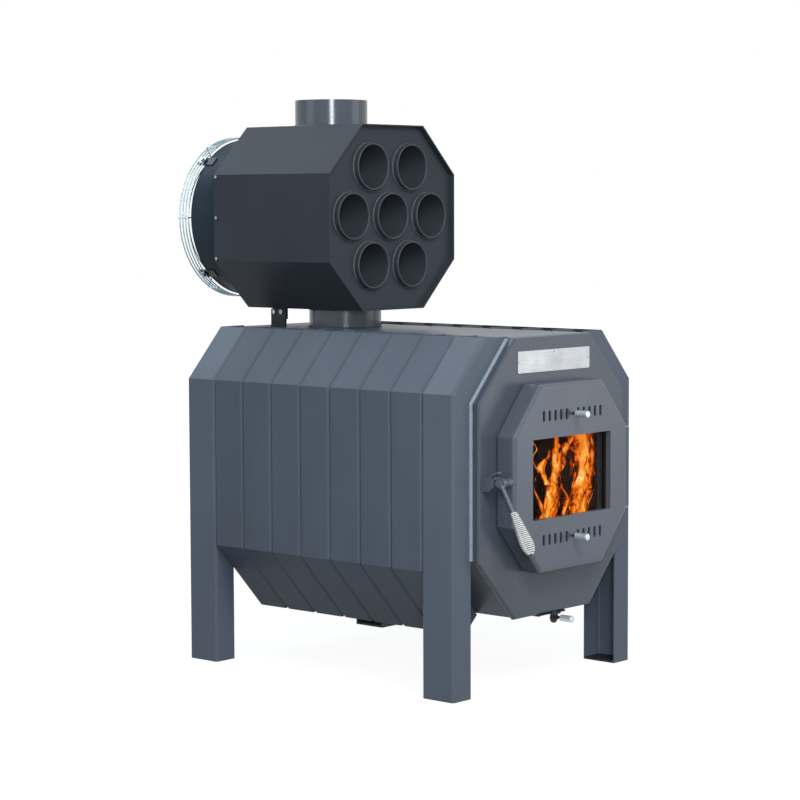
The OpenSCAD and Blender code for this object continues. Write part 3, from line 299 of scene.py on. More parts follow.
class Finish:
    """A material under construction: a Principled shader and short calls to add nodes to it."""

    def __init__(self, name, fixed=()):
        """fixed holds the values that are the same all over the surface."""
        self.material = bpy.data.materials.new(name)
        self.material.use_nodes = True
        self.tree = self.material.node_tree
        self.tree.nodes.clear()
        self.output = self.add("OutputMaterial")
        self.shader = self.add("BsdfPrincipled", fixed)
        self.link(self.shader, 0, self.output, "Surface")

    def add(self, kind, values=(), **settings):
        """A new node with its settings and the values of its sockets."""
        node = self.tree.nodes.new("ShaderNode" + kind)
        for key, value in settings.items():
            setattr(node, key, value)
        for key, value in dict(values).items():
            node.inputs[key].default_value = value
        return node

    def link(self, source, out, target, into):
        """Joins an output of one node to an input of another."""
        self.tree.links.new(source.outputs[out], target.inputs[into])

    def place(self, stretch=(1, 1, 1), turn=(0, 0, 0)):
        """Coordinates on the piece itself, stretched and turned."""
        mapping = self.add("Mapping", {"Scale": stretch, "Rotation": turn})
        self.link(self.add("TexCoord"), "Object", mapping, "Vector")
        return mapping

    def noise(self, size, detail=3, roughness=0.5, stretch=(1, 1, 1)):
        """Noise whose grains are about size metres across."""
        noise = self.add("TexNoise", {"Scale": 1 / size, "Detail": detail, "Roughness": roughness})
        self.link(self.place(stretch), "Vector", noise, "Vector")
        return noise

    def spread(self, source, low, high, start=0.3, end=0.7, out="Fac"):
        """A number that goes from low to high while the source goes from start to end."""
        node = self.add("MapRange", {"From Min": start, "From Max": end, "To Min": low, "To Max": high})
        self.link(source, out, node, "Value")
        return node

    def ramp(self, source, stops, out="Fac"):
        """A colour that follows the source; stops are (place, colour) pairs."""
        node = self.add("ValToRGB")
        bar = node.color_ramp.elements
        for place, _ in stops[len(bar):]:
            bar.new(place)
        for element, (place, colour) in zip(bar, stops):
            element.position = place
            element.color = (*colour, 1)
        self.link(source, out, node, "Fac")
        return node

    def tones(self, source, colour, low, high, start=0.3, end=0.7, out="Fac"):
        """A colour that goes from its low to its high shade while the source goes from start to end."""
        return self.ramp(source, [(start, shade(colour, low)), (end, shade(colour, high))], out)

    def tint(self, *args, **settings):
        """Gives the surface a colour made by tones."""
        self.link(self.tones(*args, **settings), "Color", self.shader, "Base Color")

    def dull(self, *args, **settings):
        """Gives the surface a roughness made by spread."""
        self.link(self.spread(*args, **settings), 0, self.shader, "Roughness")

    def relief(self, heights, depth, strength):
        """Raises the surface by (node, output) heights, laid one over the other."""
        last = None
        for node, out in heights:
            bump = self.add("Bump", {"Distance": depth, "Strength": strength})
            self.link(node, out, bump, "Height")
            if last:
                self.link(last, "Normal", bump, "Normal")
            last = bump
        self.link(last, "Normal", self.shader, "Normal")

    def cover(self, node):
        """Lets a shader node take the place of the Principled shader."""
        self.link(node, 0, self.output, "Surface")

    def blend(self, share, first, second):
        """Two shaders mixed by a share."""
        both = self.add("MixShader")
        for into, node in enumerate((share, first, second)):
            self.link(node, 0, both, into)
        return both


def shade(colour, share):
    """A colour made darker or lighter by a share, up to white."""
    return tuple(min(1.0, part * share) for part in colour)


def coat_finish(name, colour, look, rough, shine):
    """Powder coat: a fine orange peel, faint cloudy changes of tone, and dust-fine specks.

    rough is added to the coat's roughness, and shine is the share of its reflections that it keeps."""
    f = Finish(name, {"Specular IOR Level": look.shine * shine})
    tone = f.tones(f.noise(size=0.16, detail=4, stretch=(1, 1, 0.45)), colour, low=0.93, high=1.07)
    speck = f.ramp(f.noise(size=look.peel * 0.6, detail=1), [(0.60, BLACK), (0.80, WHITE)])
    faint = f.add("Math", {1: 0.16}, operation="MULTIPLY")
    f.link(speck, "Color", faint, 0)
    mix = f.add("Mix", data_type="RGBA")
    mix.inputs[MIX_SECOND].default_value = (*shade(colour, 2.0), 1)
    f.link(faint, 0, mix, MIX_SHARE)
    f.link(tone, "Color", mix, MIX_FIRST)
    f.link(mix, MIX_RESULT, f.shader, "Base Color")
    base = look.gloss + rough
    f.dull(f.noise(size=0.07, detail=3), low=base - 0.015, high=base + 0.02)
    f.relief([(f.noise(size=look.peel, detail=2), "Fac")], depth=0.0002, strength=0.3)
    return f.material


def turned_finish(name, colour, rough, axis=Y, groove=0.0006, metal=0.6, drawn=0.02):
    """Turned bright steel: fine rings across the axis, with faint smears."""
    f = Finish(name, {"Metallic": metal})
    stretch = [drawn] * 3
    stretch[axis] = 1
    lines = f.noise(size=groove, detail=2, stretch=stretch)
    f.tint(lines, colour, low=0.82, high=1.08, start=0.25, end=0.75)
    f.dull(lines, low=rough - 0.06, high=rough + 0.1)
    f.relief([(lines, "Fac")], depth=0.00006, strength=0.6)
    return f.material


def brushed_finish(name, colour):
    """Brushed plate: long hair lines along its length under a faint cloud."""
    f = Finish(name, {"Metallic": 1.0})
    hair = f.noise(size=0.0005, detail=3, stretch=(0.012, 1, 1))
    f.tint(hair, colour, low=0.78, high=1.1, start=0.25, end=0.75)
    f.dull(f.noise(size=0.05, detail=2), low=0.26, high=0.42)
    f.relief([(hair, "Fac")], depth=0.00004, strength=0.5)
    return f.material


def zinc_finish(name, colour):
    """Zinc plating: bluish, with soft cloudy patches and small dull spots."""
    f = Finish(name, {"Metallic": 1.0})
    cloud = f.noise(size=0.012, detail=4)
    f.tint(cloud, colour, low=0.75, high=1.12)
    f.dull(cloud, low=0.24, high=0.42)
    f.relief([(f.noise(size=0.0012, detail=2), "Fac")], depth=0.00008, strength=0.4)
    return f.material


def cast_finish(name, colour):
    """Sand-cast iron: coarse grain with pits and a dusty bloom."""
    f = Finish(name, {"Metallic": 0.25})
    grain = f.noise(size=0.0022, detail=5, roughness=0.65)
    f.tint(f.noise(size=0.035, detail=3), colour, low=0.8, high=1.5)
    f.dull(grain, low=0.5, high=0.75)
    f.relief([(grain, "Fac")], depth=0.0006, strength=0.6)
    return f.material


def slab_finish(name, colour):
    """Vermiculite board: pressed flakes, sooty patches and crumbly relief."""
    f = Finish(name, {"Roughness": 0.9})
    flakes = f.add("TexVoronoi", {"Scale": 260.0})
    f.link(f.place(), "Vector", flakes, "Vector")
    soot = f.noise(size=0.09, detail=5, roughness=0.6)
    tone = f.tones(soot, colour, low=0.25, high=1.0, start=0.35, end=0.62)
    fleck = f.ramp(flakes, [(0.0, WHITE), (1.0, (0.62, 0.60, 0.56))], out="Distance")
    mix = f.add("Mix", data_type="RGBA", blend_type="MULTIPLY")
    mix.inputs[MIX_SHARE].default_value = 0.8
    f.link(tone, "Color", mix, MIX_FIRST)
    f.link(fleck, "Color", mix, MIX_SECOND)
    f.link(mix, MIX_RESULT, f.shader, "Base Color")
    f.relief([(flakes, "Distance"), (f.noise(size=0.004, detail=4), "Fac")], depth=0.0012, strength=0.5)
    return f.material


def rope_finish(name, colour):
    """Braided glass-fibre rope: two sets of strands that cross, and a dusty nap."""
    f = Finish(name, {"Roughness": 0.85})
    cross = f.add("Math", operation="MAXIMUM")
    for into, lean in enumerate((0.5, -0.9)):
        strands = f.add("TexWave", {"Scale": 90.0, "Distortion": 0.6}, wave_type="BANDS",
                        bands_direction="DIAGONAL")
        f.link(f.place(turn=(0, lean, 0)), "Vector", strands, "Vector")
        f.link(strands, "Fac", cross, into)
    f.tint(cross, colour, low=0.45, high=1.15, start=0.3, end=0.8, out=0)
    f.relief([(cross, 0)], depth=0.0008, strength=0.7)
    return f.material


def glass_finish(name):
    """Ceramic door glass: clear and faintly amber, with a weak sharp reflection and a haze of soot."""
    f = Finish(name)
    clear = f.add("BsdfTransparent", {"Color": (0.97, 0.95, 0.92, 1)})
    gloss = f.add("BsdfGlossy", {"Color": (*WHITE, 1)})
    haze = f.spread(f.noise(size=0.05, detail=3), low=0.02, high=0.12, start=0.4, end=0.8)
    f.link(haze, 0, gloss, "Roughness")
    weak = f.add("Math", {1: 0.06}, operation="MULTIPLY")
    f.link(f.add("LayerWeight", {"Blend": 0.12}), "Fresnel", weak, 0)
    f.cover(f.blend(weak, clear, gloss))
    return f.material


def weld_finish(name, colour, tone):
    """Weld metal under the coat: a little glossier than the sheet, with fine ripples, in the colour times
    tone. A high tone paints a highlight onto the bead.
    """
    f = Finish(name, {"Roughness": 0.30})
    grain = f.noise(size=0.0015, detail=3)
    f.tint(grain, shade(colour, tone), low=0.8, high=1.35)
    f.relief([(grain, "Fac")], depth=0.0002, strength=0.5)
    return f.material


def bark_finish(name):
    """Burning log: charred bark with ash along its ridges and embers in its cracks."""
    f = Finish(name, {"Roughness": 0.9, "Emission Strength": 0.8})
    crack = f.add("TexVoronoi", {"Scale": 70.0}, feature="DISTANCE_TO_EDGE")
    f.link(f.place(stretch=(1, 0.3, 1)), "Vector", crack, "Vector")
    ash = f.ramp(f.noise(size=0.02, detail=5), [(0.4, (0.012, 0.010, 0.009)), (0.7, (0.20, 0.18, 0.16))])
    f.link(ash, "Color", f.shader, "Base Color")
    ember = f.ramp(crack, [(0.0, (1.0, 0.25, 0.02)), (0.05, (0.5, 0.04, 0.0)), (0.12, BLACK)], out="Distance")
    f.link(ember, "Color", f.shader, "Emission Color")
    f.relief([(crack, "Distance")], depth=0.004, strength=0.8)
    return f.material


# Colours of a flame from its edge to its hottest streaks
FLAME_COLOURS = [
    (0.0, (0.02, 0.001, 0.0)), (0.16, (0.30, 0.028, 0.0)), (0.38, (0.80, 0.14, 0.006)),
    (0.62, (1.0, 0.34, 0.03)), (0.84, (1.0, 0.58, 0.12)), (1.0, (1.0, 0.78, 0.35)),
]


def twisted_place(f):
    """Coordinates on the piece, pushed to and fro by a soft noise."""
    centred = f.add("VectorMath", {1: (0.5, 0.5, 0.5)}, operation="SUBTRACT")
    f.link(f.noise(size=0.028, detail=2, stretch=(1, 1, 0.5)), "Color", centred, 0)
    swing = f.add("VectorMath", {1: (0.055, 0.04, 0.055)}, operation="MULTIPLY")
    f.link(centred, 0, swing, 0)
    moved = f.add("VectorMath", operation="ADD")
    f.link(f.place(), "Vector", moved, 0)
    f.link(swing, 0, moved, 1)
    return moved


def tall_noise(f, source, height, values):
    """Noise on moved coordinates, drawn out upwards where height is below 1."""
    at = f.add("Mapping", {"Scale": (1, 1, height)})
    f.link(source, 0, at, "Vector")
    noise = f.add("TexNoise", values)
    f.link(at, "Vector", noise, "Vector")
    return noise


def flame_heat(f):
    """Heat on a ribbon whose u runs across and v along: a ridge that falls from the middle to both edges,
    thin rising streaks, wide masses and a loss at the tip, each by its weight, brought to 0 to 1."""
    parts = f.add("SeparateXYZ")
    f.link(f.add("UVMap", uv_map="shape"), "UV", parts, 0)
    ridge = f.add("Math", operation="MINIMUM")
    for into, side in enumerate((0.0, 1.0)):
        f.link(f.spread(parts, low=0.0, high=1.0, start=side, end=0.5, out="X"), 0, ridge, into)
    moved = twisted_place(f)
    streak = tall_noise(f, moved, 0.28, {"Scale": 120.0, "Detail": 4.0, "Roughness": 0.6, "Distortion": 0.8})
    mass = tall_noise(f, moved, 0.5, {"Scale": 38.0, "Detail": 1.0})
    tip = f.spread(parts, low=0.0, high=-0.55, start=0.62, end=1.0, out="Y")
    total = None
    for node, out, weight in ((ridge, 0, 1.1), (streak, "Fac", 2.5), (mass, "Fac", 1.5), (tip, 0, 1.0)):
        part = f.add("Math", {1: weight, 2: 0.0}, operation="MULTIPLY_ADD")
        f.link(node, out, part, 0)
        if total:
            f.link(total, 0, part, 2)
        total = part
    return f.spread(total, low=0.0, high=1.0, start=2.36, end=3.50, out=0)


def flame_finish(name, glow):
    """Flame: glowing streaks that redden towards their edges and leave the sheet clear between them."""
    f = Finish(name)
    heat = flame_heat(f)
    light = f.add("Emission", {"Strength": glow})
    f.link(f.ramp(heat, FLAME_COLOURS, out=0), "Color", light, "Color")
    seen = f.spread(heat, low=0.0, high=1.0, start=0.02, end=0.20, out=0)
    f.cover(f.blend(seen, f.add("BsdfTransparent"), light))
    return f.material


def paint(material, *nodes):
    """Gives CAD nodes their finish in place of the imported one."""
    for node in nodes:
        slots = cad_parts[node].data.materials
        for i in range(len(slots)):
            slots[i] = material


# Coats: the finish, the setting of its colour, its tone as a share of that colour, what is added to the
# roughness, the share of the reflections that it keeps, and the CAD nodes that have it. Parts that share
# one coat get different tones as painted light and shade: the legs lighter than the body's channels, and
# the firebox, front plate, door and collars darker.
BODY_COATS = (
    ("graphite_coat", "coat", 1.27, 0.0, 0.2, ("left_channels", "right_channels")),
    # The legs' coat is a lighter copy of the body's coat: painted light on the legs.
    ("leg_coat", "coat", 1.4, 0.0, 0.5,
     ("front_left_leg", "front_right_leg", "rear_left_leg", "rear_right_leg")),
    ("front_coat", "coat", 0.94, -0.10, 1.5, ("front_plate",)),
    ("firebox_coat", "coat", 0.95, 0.0, 1.0,
     ("firebox_left_wall", "firebox_right_wall", "firebox_top", "firebox_bottom", "firebox_rear_wall")),
    ("inner_steel", "dark", 1.0, 0.15, 1.0, ("foot_plates", "shutter_rails", "bottom_shutter")),
)
DOOR_COATS = (
    ("door_coat", "coat", 1.12, -0.08, 2.2,
     ("door_shell", "hinge_frame_leaf", "hinge_door_leaf", "latch_keeper", "door_handle")),
    ("door_inner_steel", "dark", 1.0, 0.2, 1.0,
     ("door_inner_plate", "glass_retainer", "slide_rails", "upper_air_slide", "lower_air_slide")),
)
EXCHANGER_COATS = (
    ("exchanger_coat", "exchanger", 0.97, 0.04, 0.25,
     ("exchanger_casing", "fan_plate", "front_tube_plate", "rear_tube_plate")),
    ("bracket_coat", "dark", 1.0, 0.0, 1.0, ("support_brackets",)),
    ("collar_coat", "coat", 0.80, -0.18, 2.2, ("flue_outlet_collar", "lower_flue_collar")),
    ("tube_coat", "exchanger", 1.05, 0.0, 1.0, AIR_TUBES),
)
FAN_COATS = (
    ("duct_coat", "duct", 1.0, 0.0, 0.2, ("fan_duct",)),
    ("strap_coat", "dark", 1.0, 0.0, 1.0, ("guard_straps",)),
)


def coat_nodes(look, coats):
    """Gives CAD nodes the powder coats of a table."""
    for name, setting, tone, rough, shine, nodes in coats:
        # A tone other than 1 makes a lighter or darker copy of a shared coat, which paints light or shade on
        # those parts.
        paint(coat_finish(name, shade(getattr(look, setting), tone), look, rough, shine), *nodes)


class STOVE_OT_body_finish(bpy.types.Operator):
    """Coats the body, legs, firebox and front plate"""

    bl_idname = "stove.body_finish"
    bl_label = "Finish the body"

    def execute(self, context):
        look = context.scene.stove_finish
        coat_nodes(look, BODY_COATS)
        paint(slab_finish("liner_slab", look.slab), "floor_slabs", "wall_slabs", "baffle_plate")
        paint(cast_finish("cast_grate", look.iron), "grate")
        paint(brushed_finish("badge_steel", look.badge), "badge_plate", "badge_rivets")
        paint(turned_finish("pull_knob", look.knob, rough=0.34), "shutter_knob")
        return {"FINISHED"}


class STOVE_OT_door_finish(bpy.types.Operator):
    """Coats the door, its latch, hinge and air slides, and glazes it"""

    bl_idname = "stove.door_finish"
    bl_label = "Finish the door"

    def execute(self, context):
        look = context.scene.stove_finish
        coat_nodes(look, DOOR_COATS)
        paint(turned_finish("turned_knob", look.knob, rough=0.34), "upper_knob", "lower_knob")
        paint(turned_finish("pin_steel", look.bolt, rough=0.22, axis=Z), "hinge_pin")
        paint(turned_finish("spring_steel", look.spring, rough=0.24, groove=0.002), "handle_grip")
        paint(glass_finish("door_glass"), "door_glass")
        paint(rope_finish("seal_rope", look.rope), "door_gasket")
        return {"FINISHED"}


class STOVE_OT_exchanger_finish(bpy.types.Operator):
    """Coats the heat exchanger, its tubes, collars and brackets"""

    bl_idname = "stove.exchanger_finish"
    bl_label = "Finish the exchanger"

    def execute(self, context):
        look = context.scene.stove_finish
        coat_nodes(look, EXCHANGER_COATS)
        paint(zinc_finish("bolt_zinc", look.bolt), "bracket_bolts", "casing_screws")
        return {"FINISHED"}


class STOVE_OT_fan_finish(bpy.types.Operator):
    """Finishes the fan, its duct and its wire guard"""

    bl_idname = "stove.fan_finish"
    bl_label = "Finish the fan"

    def execute(self, context):
        look = context.scene.stove_finish
        coat_nodes(look, FAN_COATS)
        paint(zinc_finish("guard_zinc", look.guard), "fan_guard")
        paint(zinc_finish("guard_bolt_zinc", look.guard_bolt), "guard_bolts")
        paint(cast_finish("fan_black", look.fan), "fan_motor", "fan_impeller")
        return {"FINISHED"}


def weld_piece(name, forms, material):
    """One piece of several weld beads, with the finish that it is given."""
    points, faces = join_forms(forms)
    put_mesh(name, points, faces, material)


def body_beads(welds):
    """Beads where the body's walls meet its front and its rear: from the lower fold up each side to the
    upper fold, and along the slant to the top. The upper fold lies where the slant, drawn down from the
    top, meets the side, and the lower fold as far below the body's middle as that is above it."""
    top = edge("firebox_top", LOW, Z)
    half, peak = edge("firebox_right_wall", HIGH, X), edge("firebox_top", HIGH, X)
    middle = (edge("firebox_top", HIGH, Z) + edge("firebox_bottom", LOW, Z)) / 2
    fold = top - (half - peak) / math.tan(welds.slant)
    lower = 2 * middle - fold
    for side in (-1, 1):
        for y, radius in ((LEG_FACE, welds.rim), (REAR_FACE, welds.bead)):
            path = [(side * half, y, lower), (side * half, y, fold), (side * peak, y, top)]
            yield closed_form(bead_rings(path, radius, welds.ripple, across=(0, 1, 0)))


def round_bead(centre, radius, axis, count, welds):
    """A bead that runs round a circle."""
    across = [0, 0, 0]
    across[axis] = 1
    path = circle_path(centre, radius, axis, count)
    return ring_form(bead_rings(path, welds.bead, welds.ripple, across, closed=True))


def tube_beads(welds, count=64):
    """A bead round each air tube, where it meets the front tube plate."""
    plate = edge("front_tube_plate", LOW, Y)
    for tube in AIR_TUBES:
        middle, radius = middle_and_radius(tube)
        yield round_bead((middle[X], plate, middle[Z]), radius, Y, count, welds)


def collar_beads(welds, count=96):
    """A bead round each flue collar at every plate that it meets."""
    for node, z in (("flue_outlet_collar", edge("exchanger_casing", HIGH, Z)),
                    ("lower_flue_collar", BODY_TOP),
                    ("lower_flue_collar", edge("exchanger_casing", LOW, Z))):
        middle, radius = middle_and_radius(node)
        yield round_bead((middle[X], middle[Y], z), radius, Z, count, welds)


class STOVE_OT_welds(bpy.types.Operator):
    """Lays the weld beads of the body, the tubes and the collars"""

    bl_idname = "stove.welds"
    bl_label = "Lay the welds"

    def execute(self, context):
        look, welds = context.scene.stove_finish, context.scene.stove_welds
        # The body's beads take the coat's colour three times as light: a painted highlight along the rim and
        # rear seams.
        weld_piece("body_welds", body_beads(welds), weld_finish("weld_metal", look.coat, tone=3.0))
        weld_piece("tube_welds", tube_beads(welds), weld_finish("tube_weld_metal", look.exchanger, tone=1.1))
        weld_piece("collar_welds", collar_beads(welds),
                   weld_finish("collar_weld_metal", look.exchanger, tone=1.0))
        return {"FINISHED"}


# Logs: distance to the right of the middle, height over the lowest log, and how far the rear end lies to
# the right of the front end
LOG_PLACES = (
    (-0.085, 0.0, 0.035), (0.0, 0.0, -0.03), (0.088, 0.0, 0.02), (-0.045, 0.075, -0.06),
    (0.05, 0.072, 0.08), (0.0, 0.15, 0.04), (0.1, 0.15, -0.1), (-0.1, 0.15, 0.1),
)
# Waves of a log's surface: height as a share of its radius, waves round it and radians along it
LOG_WAVES = ((0.09, 3, 0), (0.05, 7, 9), (0.05, 0, 11), (0.025, 17, 23))
# Seed of the logs' waves, gap from the front plate to the logs, and their lift over the grate
LOG_SEED = 7
LOG_GAP = 0.09
LOG_LIFT = 0.004


def log_rings(place, fire, phases, bed, rows=60, cols=40, worn=0.25, square=24):
    """Rings of a log that lies from front to rear: at the angle t and the share v of its length its radius
    is the mean radius times one plus a sum of sine waves of t and v. It loses the worn share at its
    two ends, by a power of the distance from its middle that keeps the rest straight."""
    x, height, lean = place
    v, t = np.meshgrid(np.linspace(0, 1, rows), np.linspace(0, FULL_TURN, cols, endpoint=False),
                       indexing="ij")
    swell = 1.0
    for (share, around, length), phase in zip(LOG_WAVES, phases):
        swell = swell + share * np.sin(around * t + length * v + phase)
    radius = fire.log_radius * swell * (1 - worn * np.abs(2 * v - 1) ** square)
    across = x + lean * (v - 0.5) + radius * np.cos(t)
    depth = PLATE_BACK + LOG_GAP + fire.log_length * v
    up = bed + fire.log_radius + height + LOG_LIFT + radius * np.sin(t)
    return np.stack([across, depth, up], -1)[:, ::-1]


# Flames: points of their centre lines, as distance to the right of the middle, height over the window's
# sill and width
FLAMES = (
    ((0.030, -0.04, 0.056), (0.046, 0.02, 0.052), (0.050, 0.07, 0.038), (0.054, 0.12, 0.032),
     (0.066, 0.17, 0.026), (0.072, 0.22, 0.012)),
    ((0.006, -0.04, 0.040), (0.012, 0.01, 0.036), (-0.002, 0.05, 0.026), (-0.016, 0.085, 0.006)),
    ((0.036, 0.06, 0.010), (0.018, 0.085, 0.020), (0.028, 0.110, 0.018), (0.046, 0.135, 0.005)),
    ((0.006, 0.09, 0.006), (0.000, 0.13, 0.014), (0.002, 0.155, 0.005)),
    ((0.158, -0.04, 0.062), (0.172, 0.02, 0.064), (0.166, 0.06, 0.074), (0.156, 0.10, 0.086),
     (0.166, 0.15, 0.098), (0.176, 0.20, 0.090), (0.184, 0.25, 0.030)),
    ((0.206, 0.00, 0.010), (0.226, 0.05, 0.028), (0.212, 0.10, 0.026), (0.220, 0.15, 0.030),
     (0.214, 0.20, 0.010)),
    ((0.100, 0.085, 0.006), (0.116, 0.11, 0.026), (0.132, 0.14, 0.028), (0.146, 0.17, 0.008)),
    ((0.100, 0.03, 0.004), (0.108, 0.045, 0.016), (0.118, 0.065, 0.004)),
    ((0.136, -0.02, 0.018), (0.128, 0.03, 0.024), (0.120, 0.06, 0.006)),
    ((-0.110, -0.04, 0.060), (-0.104, 0.03, 0.058), (-0.112, 0.08, 0.050), (-0.100, 0.13, 0.034),
     (-0.092, 0.18, 0.008)),
    ((-0.170, -0.04, 0.050), (-0.160, 0.03, 0.040), (-0.170, 0.09, 0.026), (-0.160, 0.13, 0.006)),
)
# Gap from the front plate to the first flame, distance from each flame to the next, and the angle by
# which its waves are ahead of the ones before
FLAME_GAP = 0.028
FLAME_SPACING = 0.004
WAVE_STEP = 1.7


def ribbon(line, width, depth, sill, wave, rows=60, cols=16, blur=11, bow=(0.006, 9), curl=(0.004, 5)):
    """A flame's sheet: at height v its middle follows a smooth curve through the line's points, and its
    edges stand half the width to either side. It bows and curls in slow sine waves of v and u, each
    given by its size and its pace."""
    line = np.asarray(line, float)
    u, v = np.linspace(0, 1, cols), np.linspace(0, 1, rows)
    knots = np.linspace(0, 1, len(line))
    x, z, wide = (np.interp(v, knots, column) for column in (line * (1, 1, width)).T)
    soft = np.hanning(blur) / np.hanning(blur).sum()
    x, wide = (np.convolve(np.pad(row, blur // 2, mode="edge"), soft, mode="valid") for row in (x, wide))
    uu, vv = np.meshgrid(u, v)
    across = x[:, None] + (uu - 0.5) * wide[:, None]
    back = depth + bow[0] * np.sin(bow[1] * vv + wave) + curl[0] * np.sin(curl[1] * uu + 2 * wave)
    up = sill + np.broadcast_to(z[:, None], uu.shape)
    return np.stack([across, back, up], -1), np.stack([uu, vv], -1)


class STOVE_OT_fire(bpy.types.Operator):
    """Stacks the logs and lights the flames"""

    bl_idname = "stove.fire"
    bl_label = "Light the fire"

    def execute(self, context):
        fire = context.scene.stove_fire
        rng = np.random.default_rng(LOG_SEED)
        bark = bark_finish("burning_bark")
        for i, place in enumerate(LOG_PLACES[:fire.logs]):
            phases = rng.uniform(0, 6, len(LOG_WAVES))
            points, faces = closed_form(log_rings(place, fire, phases, edge("grate", HIGH, Z)))
            put_mesh(f"log_{i + 1}", points, faces, bark)
        burning = flame_finish("flame", fire.glow)
        sill = edge("door_glass", LOW, Z)
        for i, line in enumerate(FLAMES):
            depth = PLATE_BACK + FLAME_GAP + FLAME_SPACING * i
            points, uv = ribbon(line, fire.width, depth, sill, WAVE_STEP * i)
            put_mesh(f"flame_{i + 1}", points, [sheet_faces(*points.shape[:2])], burning, uv)
        return {"FINISHED"}


# Softboxes: name, direction round the stove from the right and height angle in degrees, distance and side
# in metres, brightness where 1 is white, and colour
SOFTBOXES = (
    ("key_light", -118, 36, 3.4, 1.3, 10.5, (1.0, 0.99, 0.98)),
    ("side_light", 150, 22, 3.6, 1.6, 1.5, (0.84, 0.94, 1.0)),
    ("rear_light", 102, 49, 3.6, 1.6, 4.4, (0.74, 0.89, 1.0)),
    ("front_light", -52, 2, 3.8, 1.9, 1.55, (0.93, 0.97, 1.0)),
    ("camera_light", -137, 8, 6.4, 1.1, 38.0, (0.88, 0.96, 1.0)),
)
AIR_COLOUR = (0.84, 0.92, 1.0)
# Camera, fitted to the stove's edges: place with y from the face of the front legs, turns in degrees,
# width of its sensor in millimetres, and how far it sees in metres
CAMERA_PLACE = (-3.879027, -2.977405, 0.993683)
CAMERA_TURN = (85.26139, 0.19391, -48.97720)
CAMERA_SENSOR = 36
CAMERA_REACH = 60
# Floor: radii of its innermost ring and its edge, and how far from its middle it starts and ends to whiten
FLOOR_HUB, FLOOR_REACH = 0.05, 16.0
WHITENS_FROM, WHITENS_TO = 0.7, 2.2


def show(thing, name):
    """Puts a lamp, camera or mesh into the scene as an object."""
    holder = bpy.data.objects.new(name, thing)
    bpy.context.scene.collection.objects.link(holder)
    return holder


def seen_ray(tree):
    """A number that is 1 for a camera, glossy or transmission ray, and 0 for any other."""
    path = tree.nodes.new("ShaderNodeLightPath")
    last = None
    for kind in ("Is Camera Ray", "Is Glossy Ray", "Is Transmission Ray"):
        largest = tree.nodes.new("ShaderNodeMath")
        largest.operation = "MAXIMUM"
        largest.inputs[1].default_value = 0
        tree.links.new(path.outputs[kind], largest.inputs[0])
        if last:
            tree.links.new(last.outputs[0], largest.inputs[1])
        last = largest
    return last


def floor_finish(look):
    """Floor: a pale matt sheet that shines white for rays that see it, a little less beside the stove."""
    f = Finish("floor_white", {"Base Color": (*(look.floor_albedo,) * 3, 1), "Roughness": 0.9,
                               "Specular IOR Level": 0.0})
    away = f.add("VectorMath", operation="LENGTH")
    f.link(f.place(), "Vector", away, 0)
    bright = f.spread(away, look.floor_near, 1.0, WHITENS_FROM, WHITENS_TO, out="Value")
    strength = f.add("Math", operation="MULTIPLY")
    f.link(bright, 0, strength, 0)
    f.link(seen_ray(f.tree), 0, strength, 1)
    glow = f.add("Emission")
    f.link(strength, 0, glow, "Strength")
    both = f.add("AddShader")
    f.link(f.shader, 0, both, 0)
    f.link(glow, 0, both, 1)
    f.cover(both)
    return f.material


def lay_floor(look, rings=24, spokes=96):
    """A flat disc round the stove: evenly spaced rings of evenly spaced turns, with its hub filled."""
    turn, radius = np.meshgrid(np.linspace(0, FULL_TURN, spokes, endpoint=False),
                               np.linspace(FLOOR_HUB, FLOOR_REACH, rings))
    points = np.stack([radius * np.cos(turn), radius * np.sin(turn), np.zeros_like(radius)], -1)
    mesh = bpy.data.meshes.new("studio_floor")
    quads = sheet_faces(rings, spokes, wrap=True)[:, ::-1].tolist()
    mesh.from_pydata(points.reshape(-1, 3).tolist(), [], quads + [list(range(spokes))])
    mesh.materials.append(floor_finish(look))
    show(mesh, "studio_floor")


def fill_air(look):
    """Soft light from all round, which shows as white to rays that see it."""
    world = bpy.data.worlds.new("studio_air")
    bpy.context.scene.world = world
    world.use_nodes = True
    tree = world.node_tree
    tree.nodes.clear()
    soft, white = (tree.nodes.new("ShaderNodeBackground") for _ in range(2))
    soft.inputs["Color"].default_value = (*AIR_COLOUR, 1)
    soft.inputs["Strength"].default_value = look.fill
    white.inputs["Color"].default_value = (*WHITE, 1)
    mix = tree.nodes.new("ShaderNodeMixShader")
    for into, node in enumerate((seen_ray(tree), soft, white)):
        tree.links.new(node.outputs[0], mix.inputs[into])
    out = tree.nodes.new("ShaderNodeOutputWorld")
    tree.links.new(mix.outputs[0], out.inputs["Surface"])


def hang_lights():
    """Square lamps round the stove's middle, each turned towards it. A lamp's power is its brightness
    times pi times its area."""
    middle = np.array((CAD_LOW, CAD_HIGH)).mean(0)
    for name, turn, rise, far, side, bright, colour in SOFTBOXES:
        turn, rise = math.radians(turn), math.radians(rise)
        lamp = bpy.data.lights.new(name, "AREA")
        lamp.shape = "SQUARE"
        lamp.size = side
        lamp.energy = math.pi * bright * side * side
        lamp.color = colour
        holder = show(lamp, name)
        flat = far * math.cos(rise)
        holder.location = middle + (flat * math.cos(turn), flat * math.sin(turn), far * math.sin(rise))
        holder.rotation_euler = (math.pi / 2 - rise, 0, turn + math.pi / 2)


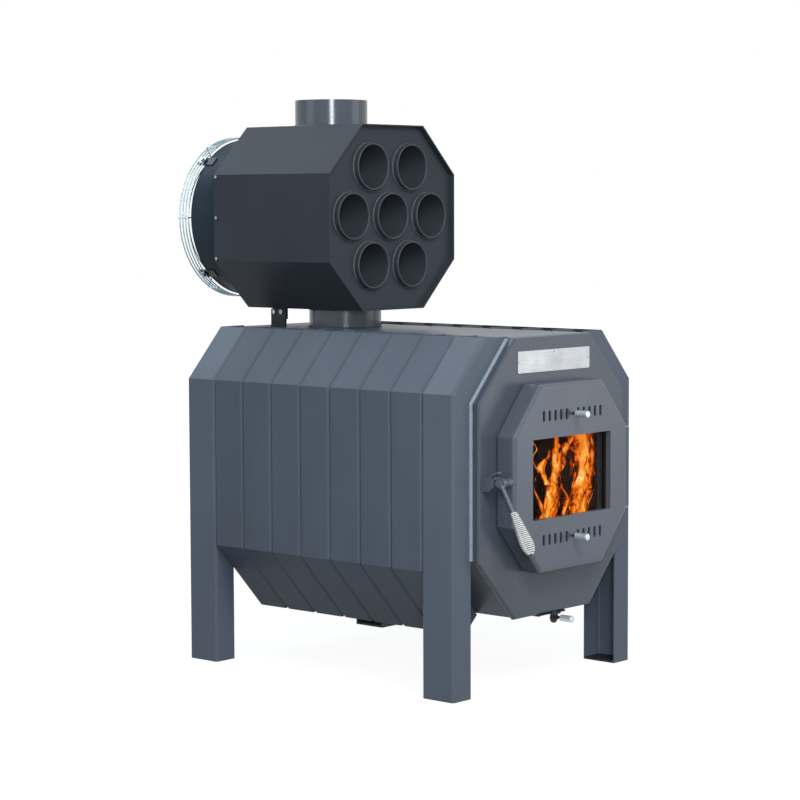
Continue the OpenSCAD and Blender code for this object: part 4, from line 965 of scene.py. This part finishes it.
def set_camera(look):
    """The camera at the photograph's viewing angle."""
    scene = bpy.context.scene
    camera = bpy.data.cameras.new("studio_camera")
    camera.sensor_width = CAMERA_SENSOR
    camera.lens = look.lens
    camera.clip_end = CAMERA_REACH
    scene.camera = show(camera, "studio_camera")
    x, y, z = CAMERA_PLACE
    scene.camera.location = (x, y + LEG_FACE, z)
    scene.camera.rotation_euler = tuple(math.radians(angle) for angle in CAMERA_TURN)
    scene.view_settings.view_transform = "Standard"


class STOVE_OT_studio(bpy.types.Operator):
    """Sets the pale floor, the soft light and the camera"""

    bl_idname = "stove.studio"
    bl_label = "Set the studio"

    def execute(self, context):
        look = context.scene.stove_studio
        lay_floor(look)
        fill_air(look)
        hang_lights()
        set_camera(look)
        return {"FINISHED"}


class STOVE_PT_panel(bpy.types.Panel):
    """Lists the stove's steps and settings in the sidebar"""

    bl_idname = "STOVE_PT_panel"
    bl_label = "Workshop Stove"
    bl_space_type = "VIEW_3D"
    bl_region_type = "UI"
    bl_category = "Stove"

    def draw(self, context):
        for step in STEPS:
            self.layout.operator(step.bl_idname)
        for name in GROUPS:
            group = getattr(context.scene, name)
            for key in group.bl_rna.properties.keys():
                if key not in ("rna_type", "name"):
                    self.layout.prop(group, key)


STEPS = (STOVE_OT_studio, STOVE_OT_body_finish, STOVE_OT_door_finish, STOVE_OT_exchanger_finish,
         STOVE_OT_fan_finish, STOVE_OT_welds, STOVE_OT_fire)
GROUPS = {"stove_finish": StoveFinish, "stove_fire": StoveFire, "stove_welds": StoveWelds,
          "stove_studio": StoveStudio}


def register():
    for kind in (*GROUPS.values(), *STEPS, STOVE_PT_panel):
        bpy.utils.register_class(kind)
    for name, group in GROUPS.items():
        setattr(bpy.types.Scene, name, PointerProperty(type=group))


def unregister():
    for name in GROUPS:
        delattr(bpy.types.Scene, name)
    for kind in reversed((*GROUPS.values(), *STEPS, STOVE_PT_panel)):
        bpy.utils.unregister_class(kind)


def main():
    register()
    for step in STEPS:
        group, name = step.bl_idname.split(".")
        getattr(getattr(bpy.ops, group), name)()


if __name__ == "__main__":
    main()
